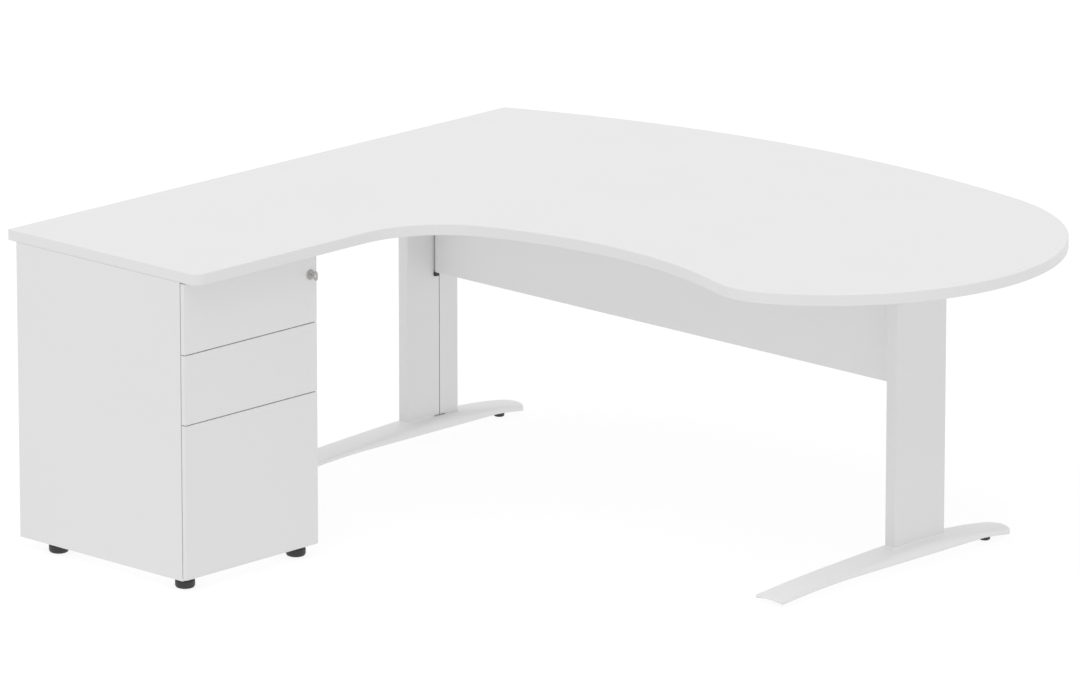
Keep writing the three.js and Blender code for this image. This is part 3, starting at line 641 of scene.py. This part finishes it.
board_shape, edging_shape = banded_parts(desktop_face, board_thickness, edging_round)
for shape in (board_shape, edging_shape):
    moved(shape, Matrix.Translation(desk_corner))
new_piece("desktop_board", board_shape, "desk", "board", ("desktop",))
new_piece("desktop_edging", edging_shape, "desk", "edging", ("desktop_edge_band",))
print("desktop", round(desk_length, 3), "by", round(desk_depth, 3), "m")

# %% [markdown]
# ## Drawer fronts
# Each front is a 12 mm board with the same 2 mm edging. It is drawn lying flat, as on the
# banding machine, and then stood up to face the user. The top one is drilled for the lock,
# and a Boolean modifier does the drilling, as a bit would.

# %% Drawer fronts
drill_sides = 48
drill_reach = 0.05
lock_low, lock_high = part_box("lock_housing")
lock_axis = (lock_low + lock_high) / 2
lock_hole_radius = 0.0083


def carved(piece, cutter_shape):
    """Cuts a closed shape out of a piece and keeps the cut mesh."""
    cutter_mesh = bpy.data.meshes.new("cutter")
    cutter_shape.to_mesh(cutter_mesh)
    cutter_shape.free()
    cutter = bpy.data.objects.new("cutter", cutter_mesh)
    bpy.context.scene.collection.objects.link(cutter)
    drill = piece.modifiers.new("drill", "BOOLEAN")
    drill.operation = "DIFFERENCE"
    drill.solver = "EXACT"
    drill.object = cutter
    shading = [modifier for modifier in piece.modifiers if modifier.type == "WEIGHTED_NORMAL"]
    for modifier in shading:
        modifier.show_viewport = False
    graph = bpy.context.evaluated_depsgraph_get()
    cut_mesh = bpy.data.meshes.new_from_object(piece.evaluated_get(graph))
    piece.modifiers.remove(drill)
    for modifier in shading:
        modifier.show_viewport = True
    piece.data = cut_mesh
    bpy.data.objects.remove(cutter)
    return piece


for name in ("top", "middle", "filing"):
    low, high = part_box(f"{name}_drawer_front")
    width, height = high.y - low.y, high.z - low.z
    stand_up = Matrix.Translation(low) @ Matrix(
        ((0, 0, 1, 0), (1, 0, 0, 0), (0, 1, 0, 0), (0, 0, 0, 1))
    )
    board_shape, edging_shape = banded_parts(
        lambda: rectangle(width, height, width / 2, height / 2), high.x - low.x, front_round,
    )
    # The front's board takes the melamine a shade deeper, as painted shade.
    board_piece = new_piece(
        f"{name}_drawer_front_board", moved(board_shape, stand_up), f"{name}_drawer", "board",
        (f"{name}_drawer_front",), ("board_with_painted_shade",),
    )
    new_piece(
        f"{name}_drawer_front_edging", moved(edging_shape, stand_up), f"{name}_drawer", "edging",
    )
    if name == "top":
        bit = turned([
            (0, -drill_reach), (lock_hole_radius, -drill_reach),
            (lock_hole_radius, drill_reach), (0, drill_reach),
        ], drill_sides)
        carved(board_piece, moved(bit, facing((1, 0, 0), lock_axis)))
    print(name, "drawer front", round(width, 3), "by", round(height, 3), "m")

# %% [markdown]
# ## Pedestal, modesty panel and drawer boxes
# These are plain boards, so the bare solids have the right shape already. Only their
# corners are softened, and the panels' narrow sides take the edging.

# %% Boards
along_x, along_y, along_z = Vector((1, 0, 0)), Vector((0, 1, 0)), Vector((0, 0, 1))
board_round = 0.0006
box_round = 0.0008

thickness_axes = {
    "pedestal_outer_side": along_y, "pedestal_inner_side": along_y, "modesty_panel": along_y,
    "pedestal_top": along_z, "pedestal_base": along_z, "pedestal_back": along_x,
}
for node, axis in thickness_axes.items():
    # The pedestal's boards take the melamine a shade deeper, as painted shade.
    face_finish = "board" if node == "modesty_panel" else "board_with_painted_shade"
    rounded_copy(
        node, board_round, finish=face_finish, second="edging", takes=narrow_side(axis),
    )
for node in ("top_drawer_box", "middle_drawer_box", "filing_drawer_box"):
    rounded_copy(node, box_round)
print("boards done")

# %% [markdown]
# ## Legs
# The columns, their clip-on covers and the arms under the top are folded from sheet
# steel. A fold has a round outer corner, and that soft corner is what shows along the front
# of each column. The joint between cover and post is a narrow gap that reads as a dark
# upright line, so the sheets' cut edges inside it are painted black as the shade in that gap.

# %% Columns, covers and arms
fold_radius = 0.0022
cover_radius = 0.0010
arm_radius = 0.0008
cover_seam = 0.0012
seam_tolerance = 0.0003
seam_cosine = 0.9


def upright_outer_fold(node):
    """Accepts the upright corners that lie on the outside of a folded post."""
    low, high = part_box(node)

    def accepts(edge):
        first, second = (vert.co for vert in edge.verts)
        upright = abs(first.x - second.x) + abs(first.y - second.y) < merge_distance
        on_side = min(abs(first.x - low.x), abs(first.x - high.x)) < merge_distance
        on_end = min(abs(first.y - low.y), abs(first.y - high.y)) < merge_distance
        return upright and on_side and on_end

    return accepts


def seam_faces_for_painted_shade(edge_y, looks):
    """Picks the faces of a folded sheet that look across the seam from one of its sides."""
    def takes(face):
        at_seam = abs(face.calc_center_median().y - edge_y) < seam_tolerance
        return at_seam and face.normal.y * looks > seam_cosine

    return takes


# The cut edges at each seam take black steel as painted shade for the narrow gap.
for side in ("left", "right"):
    column, cover = f"{side}_column", f"{side}_cable_cover"
    seam_rear_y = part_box(cover)[0].y
    rounded_copy(
        column, fold_radius, segments=4, keep=upright_outer_fold(column),
        second="black_steel", takes=seam_faces_for_painted_shade(seam_rear_y - cover_seam, 1),
    )
    rounded_copy(
        cover, cover_radius, keep=upright_outer_fold(cover),
        second="black_steel", takes=seam_faces_for_painted_shade(seam_rear_y, -1),
    )
    rounded_copy(f"{side}_top_arm", arm_radius)
print("legs done")

# %% [markdown]
# ## Modesty panel brackets
# Each panel end hangs on a coated steel angle, and a black moulded block closes the angle
# under the panel's corner. The bare solid holds both, so the faces that lie under the
# panel take the second finish.

# %% Brackets
bracket_round = 0.0005
panel_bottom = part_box("modesty_panel")[0].z

for side in ("left", "right"):
    node = f"{side}_modesty_bracket"
    shape = whole_faces(node)
    bmesh.ops.bisect_plane(
        shape, geom=[*shape.verts, *shape.edges, *shape.faces],
        plane_co=(0, 0, panel_bottom - bracket_round), plane_no=(0, 0, 1),
    )
    for face in shape.faces:
        face.material_index = int(face.calc_center_median().z < panel_bottom)
    soften(shape, bracket_round, 2)
    new_piece(
        f"{node}_dressed", without_slivers(shape), body_of(node), slot_of[node], (node,),
        ("coated_steel", "black_plastic"),
    )
print("brackets done, the panel ends", round(panel_bottom, 3), "m above the floor")

# %% [markdown]
# ## Pressed feet
# Each foot is one piece of sheet steel, pressed into a long crowned shell that is open
# below. So a flat grid is the blank, and every vertex is moved to where the press would
# put it: down over the sides, up over the crown, low at the toe and round at the heel. The
# toe's end is closed with one face, arched along the floor and rounded, and Solidify gives
# the sheet its gauge.

# %% Feet
foot_crown = 0.0487
foot_toe_crown = 0.0185
foot_heel_crown = 0.025
foot_side = 0.006
foot_toe_rise = 0.002
foot_clearance = 0.0214
foot_toe_clearance = 0.0088
foot_heel_clearance = 0.0088
foot_toe_run = 0.230
foot_heel_run = 0.120
foot_heel_round = 0.0295
heel_round_power = 2.5
foot_front_reach = 0.483
toe_power = 1.4
heel_power = 1.8
clearance_power = 1.65
arch_power = 3.5
foot_stations = 96
foot_across = 40
side_share = 0.9
foot_gauge = 0.0025
toe_round = 0.003
toe_arch = 0.0042
toe_arch_cuts = 19


def foot_section(low, high, leg, y):
    """The shell's half width, and its bottom, shoulder and top heights, at one section."""
    if y < leg.y:
        reach, tip, power = leg.y - low.y, foot_toe_crown, toe_power
    else:
        reach, tip, power = high.y - leg.y, foot_heel_crown, heel_power
    top = foot_crown - (foot_crown - tip) * (abs(y - leg.y) / reach) ** power
    toe = max(0.0, (low.y + foot_toe_run - y) / foot_toe_run) ** clearance_power
    heel = max(0.0, (y - high.y + foot_heel_run) / foot_heel_run) ** clearance_power
    bottom = (
        foot_clearance - (foot_clearance - foot_toe_clearance) * toe
        - (foot_clearance - foot_heel_clearance) * heel
    )
    past = max(0.0, (y - high.y + foot_heel_round) / foot_heel_round)
    half = (high.x - low.x) / 2 * max(0.0, 1 - past**heel_round_power) ** (1 / heel_round_power)
    return half, bottom, min(bottom + foot_side, top - foot_toe_rise), top


def foot_place(low, high, leg, along, across):
    """Where the press puts the blank's point: along is 0 at the toe, across runs -1 to 1."""
    y = low.y + (high.y - low.y) * math.sin(math.pi / 2 * along)
    half, bottom, shoulder, top = foot_section(low, high, leg, y)
    if abs(across) > side_share:
        down = (abs(across) - side_share) / (1 - side_share)
        side_z = shoulder + (bottom - shoulder) * down
        return Vector((leg.x + math.copysign(half, across), y, side_z))
    angle = math.pi / 2 * (1 - abs(across) / side_share)
    outward = half * math.cos(angle) ** (2 / arch_power)
    rise = (top - shoulder) * math.sin(angle) ** (2 / arch_power)
    return Vector((leg.x + math.copysign(outward, across), y, shoulder + rise))


def foot_frame(side):
    """The foot's lowest and highest corners, and the place of its leg's line."""
    low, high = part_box(f"{side}_foot")
    return low, high, Vector(((low.x + high.x) / 2, low.y + foot_front_reach, 0))


def pressed_foot(side):
    low, high, leg = foot_frame(side)

    def on_toe(edge):
        return all(vert.co.y < low.y + merge_distance for vert in edge.verts)

    shape = bmesh.new()
    bmesh.ops.create_grid(shape, x_segments=foot_stations, y_segments=foot_across, size=1)
    for vert in shape.verts:
        vert.co = foot_place(low, high, leg, (vert.co.x + 1) / 2, vert.co.y)
    without_slivers(shape)
    toe_edges = [edge for edge in shape.edges if edge.is_boundary and on_toe(edge)]
    toe_face = bmesh.ops.contextual_create(shape, geom=toe_edges)["faces"][0]
    floor_edge = next(edge for edge in toe_face.edges if edge.is_boundary)
    arched = bmesh.ops.subdivide_edges(shape, edges=[floor_edge], cuts=toe_arch_cuts)
    for vert in arched["geom_inner"]:
        if isinstance(vert, bmesh.types.BMVert):
            vert.co.z += toe_arch * (1 - ((vert.co.x - leg.x) / (leg.x - low.x)) ** 2)
    bmesh.ops.recalc_face_normals(shape, faces=shape.faces)
    if sum(face.normal.z * face.calc_area() for face in shape.faces) < 0:
        bmesh.ops.reverse_faces(shape, faces=shape.faces)
    soften(shape, toe_round, segments=4, keep=on_toe)
    # The foot takes the powder coat a shade paler, as painted light.
    foot = new_piece(
        f"{side}_foot_pressed", shape, "desk", "coated_steel", (f"{side}_foot",),
        ("powder_coat_with_painted_light",), False,
    )
    sheet = foot.modifiers.new("sheet_gauge", "SOLIDIFY")
    sheet.thickness = foot_gauge
    sheet.offset = -1
    sheet.use_even_offset = True


for side in ("left", "right"):
    pressed_foot(side)
print("feet pressed")

# %% [markdown]
# ## Welds
# No dark line shows where a post meets its foot, so the joint is taken to be a weld that
# is painted over. The bead starts as a flat ring round the post, inset in steps, and each
# vertex is then lifted to the foot's crown plus the hollow round of a dressed weld. It
# stops where the clip-on cover and its cable slot begin, because a weld can't be there.

# %% Welds
weld_reach = 0.005
weld_steps = 6
weld_inside = 0.0003
weld_depth = 0.001
weld_section = 0.008
cable_slot_half = 0.0195


def lifted(section, leg, vert, low, high):
    """The height of the bead's surface over one place, from its distance to the post."""
    half, bottom, shoulder, top = section
    across = min(1.0, abs(vert.co.x - leg.x) / half)
    crown = shoulder + (top - shoulder) * (1 - across**arch_power) ** (1 / arch_power)
    out_x = max(low.x + fold_radius - vert.co.x, 0, vert.co.x - high.x + fold_radius)
    out_y = max(low.y + fold_radius - vert.co.y, 0, vert.co.y - high.y + fold_radius)
    away = max(0.0, math.hypot(out_x, out_y) - fold_radius)
    rest = max(0.0, 1 - away / weld_reach)
    return crown + weld_reach * (1 - math.sqrt(max(0.0, 1 - rest**2)))


def weld_bead(side):
    foot_low, foot_high, leg = foot_frame(side)
    low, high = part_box(f"{side}_column")
    cover_low, cover_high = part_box(f"{side}_cable_cover")
    slot_y = cover_low.y - cover_seam - cable_slot_half
    size = high - low
    shape = rectangle(
        size.x + 2 * weld_reach, size.y + 2 * weld_reach,
        (low.x + high.x) / 2, (low.y + high.y) / 2,
    )
    bmesh.ops.bevel(
        shape, geom=shape.verts[:], offset=fold_radius + weld_reach, offset_type="OFFSET",
        segments=8, profile=0.5, affect="VERTICES", material=-1,
    )
    inner = shape.faces[:]
    reach = (weld_reach + weld_inside) / weld_steps
    for step in range(weld_steps):
        bmesh.ops.inset_region(
            shape, faces=inner, thickness=reach, use_even_offset=True, use_boundary=True,
        )
    bmesh.ops.delete(shape, geom=inner, context="FACES")
    steps = range(int(size.y / weld_section) + 1)
    for cut_y in [slot_y, *(low.y + weld_section * step for step in steps)]:
        bmesh.ops.bisect_plane(
            shape, geom=[*shape.verts, *shape.edges, *shape.faces],
            plane_co=(0, cut_y, 0), plane_no=(0, 1, 0),
        )
    unwelded = [
        face for face in shape.faces
        if face.calc_center_median().y > slot_y
        and cover_low.x - weld_reach < face.calc_center_median().x < cover_high.x + weld_reach
    ]
    bmesh.ops.delete(shape, geom=unwelded, context="FACES")
    for vert in shape.verts:
        section = foot_section(foot_low, foot_high, leg, vert.co.y)
        vert.co.z = lifted(section, leg, vert, low, high)
    raise_faces(shape, shape.faces[:], -weld_depth - foot_gauge)
    # The bead takes the feet's paler powder coat, as painted light.
    new_piece(
        f"{side}_column_weld", shape, "desk", "coated_steel", (), ("powder_coat_with_painted_light",), False,
    )


for side in ("left", "right"):
    weld_bead(side)
print("posts welded, bead", weld_reach, "m")

# %% [markdown]
# ## Glides and pedestal feet
# A glide is a moulded disc on a threaded stud that screws up into the foot, with six
# flats for a spanner. The pedestal's feet are larger pads. All are turned from a profile,
# as in a lathe; the threads are plain rings, which look much the same at this size.

# %% Glides and pedestal feet
thread_pitch = 0.00125
thread_depth = 0.0006
thread_gap = 0.0001
stud_sides = 32
glide_height = 0.010
glide_round = 0.002
glide_stud = 0.004
glide_stud_tip = 0.0008
glide_tip_share = 0.7
hex_radius = 0.0075
hex_round = 0.0005
hex_sunk = 0.0005
hex_proud = 0.0025
pad_edge = 0.006
pad_edge_share = 0.3
pad_neck_share = 0.9
pad_neck_drop = 0.006
pad_shoulder_drop = 0.007
pad_round = 0.0012
pad_stud = 0.005
pad_stud_tip = 0.0005


def threaded(radius, from_z, to_z):
    """Profile points of a thread's rings, going up."""
    turns = int((to_z - from_z) / thread_pitch)
    points = []
    for turn in range(turns):
        base = from_z + turn * thread_pitch
        points += [(radius, base), (radius - thread_depth, base + thread_pitch / 2)]
    return points + [(radius, from_z + turns * thread_pitch)]


def hexagon(radius, from_z, to_z, place):
    shape = bmesh.new()
    bmesh.ops.create_circle(shape, cap_ends=True, segments=6, radius=radius)
    raise_faces(shape, shape.faces[:], to_z - from_z)
    soften(shape, hex_round, 2)
    return moved(shape, Matrix.Translation((place.x, place.y, from_z)))


def joined(*shapes):
    """Several closed shapes in one mesh."""
    whole = bmesh.new()
    for shape in shapes:
        carrier = bpy.data.meshes.new("carrier")
        shape.to_mesh(carrier)
        shape.free()
        whole.from_mesh(carrier)
        bpy.data.meshes.remove(carrier)
    return whole


for node in [name for name in nodes if name.endswith("_glide")]:
    low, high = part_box(node)
    centre = (low + high) / 2
    radius = (high.x - low.x) / 2
    disc = turned([
        (0, 0), (radius - glide_round, 0), (radius, glide_round),
        (radius, glide_height - glide_round / 2), (radius - glide_round / 2, glide_height),
        (0, glide_height),
    ])
    soften(disc, glide_round / 4, 2)
    rings = threaded(glide_stud, glide_height + thread_gap, high.z - glide_stud_tip)
    tip = [(glide_stud * glide_tip_share, high.z), (0, high.z)]
    rod = turned([(0, glide_height), *rings, *tip], stud_sides)
    for shape in (disc, rod):
        moved(shape, Matrix.Translation((centre.x, centre.y, 0)))
    flats = hexagon(hex_radius, glide_height - hex_sunk, glide_height + hex_proud, centre)
    new_piece(
        f"{node}_turned", joined(disc, flats, rod), body_of(node), "black_plastic", (node,),
    )

for node in [name for name in nodes if name.startswith("pedestal_foot_")]:
    low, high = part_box(node)
    centre = (low + high) / 2
    radius = (high.x - low.x) / 2
    pad_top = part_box("pedestal_outer_side")[0].z
    neck = radius * pad_neck_share
    pad = turned([
        (0, 0), (radius - pad_edge, 0),
        (radius - pad_edge * pad_edge_share, pad_edge * pad_edge_share), (radius, pad_edge),
        (radius, pad_top - pad_shoulder_drop), (neck, pad_top - pad_neck_drop),
        (neck, pad_top), (0, pad_top),
    ])
    soften(pad, pad_round)
    rings = threaded(pad_stud, pad_top + thread_gap, high.z - pad_stud_tip)
    rod = turned([(0, pad_top), *rings, (0, high.z)], stud_sides)
    for shape in (pad, rod):
        moved(shape, Matrix.Translation((centre.x, centre.y, 0)))
    new_piece(f"{node}_turned", joined(pad, rod), body_of(node), "black_plastic", (node,))
print("glides and feet turned")

# %% [markdown]
# ## Screws
# One pan-head screw is made with care and then copied: a domed head with a cross recess
# that a Boolean cuts, on a threaded shank. Copies hold the arms to the top, the brackets
# to the modesty panel, and the drawer fronts to their boxes.

# %% Screws
screw_head_radius = 0.0042
screw_head_height = 0.0024
screw_shank = 0.0020
screw_length = 0.010
screw_head_sides = 32
screw_shank_sides = 24
shank_overlap = 0.0003
shank_thread_top = 0.0001
dome_steps = 12
dome_rim_share = 0.35
recess_share = 1.2
recess_width = 0.0011
recess_depth = 0.0016
arm_screw_scale = 1.4
arm_screw_head = 0.003
bracket_screw_reach = 0.014
bracket_screw_shares = {"lower": 0.15, "upper": 0.85}
box_wall = 0.012
front_screw_inset = 0.055
front_screw_low = 0.045
front_screw_drop = 0.018
lock_detour = 0.03


def block(x, y, z, place=(0, 0, 0)):
    shape = bmesh.new()
    bmesh.ops.create_cube(shape, size=1)
    return moved(shape, Matrix.Translation(place) @ Matrix.Diagonal((x, y, z, 1)))


def dome_point(step):
    """A point of the head's profile, where dome_steps steps make half a turn."""
    angle = step * math.pi / dome_steps
    rise = dome_rim_share + (1 - dome_rim_share) * math.sin(angle)
    return screw_head_radius * math.cos(angle), screw_head_height * rise


def screw_mesh():
    """A pan-head screw with its head above the origin and its shank below."""
    dome = [dome_point(step) for step in range(dome_steps // 2)]
    profile = [(0, 0), (screw_head_radius, 0), *dome, (0, screw_head_height)]
    head = turned(profile, screw_head_sides)
    rings = threaded(screw_shank, -screw_length, shank_thread_top)
    shank = turned([(0, -screw_length), *rings, (0, shank_overlap)], screw_shank_sides)
    head_piece = new_piece("screw_pattern", head, "desk", "zinc_steel", even=False)
    recess_length = screw_head_radius * recess_share
    for x, y in ((recess_length, recess_width), (recess_width, recess_length)):
        carved(head_piece, block(x, y, recess_depth * 2, (0, 0, screw_head_height)))
    crossed_head = bmesh.new()
    crossed_head.from_mesh(head_piece.data)
    bpy.data.objects.remove(head_piece)
    return joined(without_slivers(crossed_head), shank)


screw_shape = screw_mesh()


def add_screw(name, body, place, direction, size=1.0, stands_for=()):
    shape = screw_shape.copy()
    moved(shape, facing(direction, place) @ Matrix.Diagonal((size, size, size, 1)))
    new_piece(name, shape, body, "zinc_steel", stands_for, even=False)


for side in ("left", "right"):
    for end in ("front", "rear"):
        node = f"{side}_arm_screw_{end}"
        low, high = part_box(node)
        head = Vector(((low.x + high.x) / 2, (low.y + high.y) / 2, low.z + arm_screw_head))
        add_screw(f"{node}_cross_head", "desk", head, (0, 0, -1), arm_screw_scale, (node,))

    low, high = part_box(f"{side}_modesty_bracket")
    inward = 1 if side == "left" else -1
    post_x = low.x if side == "left" else high.x
    for level, share in bracket_screw_shares.items():
        z = low.z + (high.z - low.z) * share
        panel_place = Vector((post_x + inward * bracket_screw_reach, high.y, z))
        add_screw(f"{side}_bracket_screw_{level}", "desk", panel_place, (0, 1, 0))

for name in ("top", "middle", "filing"):
    low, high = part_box(f"{name}_drawer_box")
    inside_x = high.x - box_wall
    columns = {"outer": low.y + front_screw_inset, "inner": high.y - front_screw_inset}
    rows = {"lower": low.z + front_screw_low, "upper": high.z - front_screw_drop}
    for place_name, y in columns.items():
        for level, z in rows.items():
            if name == "top" and place_name == "inner" and level == "upper":
                y -= lock_detour
            add_screw(
                f"{name}_front_screw_{place_name}_{level}", f"{name}_drawer",
                Vector((inside_x, y, z)), (-1, 0, 0),
            )
print("screws driven")

# %% [markdown]
# ## Lock and key
# The lock's housing is a barrel with a domed flange that shows on the drawer front. The
# plug inside it keeps its bare shape with soft corners, because its keyway and cam are
# already cut, and it takes the key's paler nickel as painted light against the shade in its
# keyway. The key is made from two loops, the bow's outline and its hole, bridged and
# raised, with a blade whose side grooves are cut by a Boolean.

# %% Lock and key
flange_radius = (lock_high.y - lock_low.y) / 2
barrel_radius = 0.008
plug_bore = 0.0058
plug_round = 0.0003
flange_rim = 0.0010
flange_shoulder = 0.0021
flange_dome_inset = 0.0026
bore_chamfer = 0.0004
bore_chamfer_depth = 0.0005
housing_sides = 64
flange_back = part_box("top_drawer_front")[1].x
housing_rear = lock_low.x - flange_back
housing_front = lock_high.x - flange_back
housing = turned([
    (plug_bore, housing_rear), (barrel_radius, housing_rear), (barrel_radius, 0.0),
    (flange_radius, 0.0), (flange_radius, flange_rim),
    (flange_radius - flange_rim, flange_shoulder),
    (flange_radius - flange_dome_inset, housing_front),
    (plug_bore + bore_chamfer, housing_front),
    (plug_bore, housing_front - bore_chamfer_depth), (plug_bore, housing_rear),
], housing_sides)
lock_seat = Vector((flange_back, lock_axis.y, lock_axis.z))
new_piece(
    "lock_housing_turned", moved(housing, facing((1, 0, 0), lock_seat)), "top_drawer",
    "lock_nickel", ("lock_housing",),
)
# The plug takes the key's paler nickel as painted light against the shade in its keyway.
rounded_copy("lock_plug", plug_round, 2, finish="pale_nickel_painted_light")

key_low, key_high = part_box("key")
key_thickness = key_high.y - key_low.y
bow_length = 0.013
bow_height = key_high.z - key_low.z
bow_hole_radius = 0.003
bow_sides = 48
bow_squareness = 3.2
blade_height = 0.007
blade_overlap = 0.001
key_round = 0.0004
key_centre = (key_low + key_high) / 2
groove_depth = 0.0007
groove_width = 0.0016
groove_length = 0.040
groove_inset = 0.008
groove_rise = 0.0006


def bow_loop(radius_x, radius_z, power):
    """Points of a ring shaped like a rounded rectangle, or a circle for a power of 2."""
    def place(step):
        angle = 2 * math.pi * step / bow_sides
        x, z = math.cos(angle), math.sin(angle)
        return Vector((
            math.copysign(abs(x) ** (2 / power), x) * radius_x,
            math.copysign(abs(z) ** (2 / power), z) * radius_z, 0,
        ))
    return [place(step) for step in range(bow_sides)]


def key_shape():
    bow = bmesh.new()
    rings = []
    for radius_x, radius_z, power in (
        (bow_length / 2, bow_height / 2, bow_squareness), (bow_hole_radius, bow_hole_radius, 2),
    ):
        verts, edges = chain(bow, bow_loop(radius_x, radius_z, power))
        rings += [*edges, bow.edges.new((verts[-1], verts[0]))]
    bmesh.ops.bridge_loops(bow, edges=rings)
    raise_faces(bow, bow.faces[:], key_thickness)
    soften(bow, key_round, 2)
    bow_place = Vector((key_high.x - bow_length / 2, key_high.y, key_centre.z))
    upright = Matrix(((1, 0, 0, 0), (0, 0, -1, 0), (0, 1, 0, 0), (0, 0, 0, 1)))
    moved(bow, Matrix.Translation(bow_place) @ upright)

    blade_end = key_high.x - bow_length + blade_overlap
    blade = block(
        blade_end - key_low.x, key_thickness, blade_height,
        ((blade_end + key_low.x) / 2, key_centre.y, key_centre.z),
    )
    soften(blade, key_round, 2)
    return bow, blade


bow_part, blade_part = key_shape()
blade_piece = new_piece(
    "key_blade", blade_part, "key_and_plug", "lock_nickel", (), ("pale_nickel_painted_light",), False,
)
for side_y in (key_low.y, key_high.y):
    groove_place = (key_low.x + groove_inset, side_y, key_centre.z + groove_rise)
    carved(blade_piece, block(groove_length, groove_depth * 2, groove_width, groove_place))
new_piece(
    "key_bow", bow_part, "key_and_plug", "lock_nickel", ("key",), ("pale_nickel_painted_light",), False,
)
print("lock and key made")

# %% [markdown]
# ## Runners, locking bar and fittings
# What is left is folded or moulded parts inside the pedestal, which show when a drawer is
# out. Their bare shapes are right, so they only get soft corners and their finish.

# %% Small parts
small_rounds = {
    "runner": 0.0003, "locking_bar": 0.0003, "file_rail": 0.0003, "pencil_tray": 0.0008,
}
for node in sorted(nodes):
    for part, radius in small_rounds.items():
        if part in node and not nodes[node].hide_render:
            rounded_copy(node, radius, 2)
print("pieces still bare:", [name for name, item in nodes.items() if not item.hide_render])
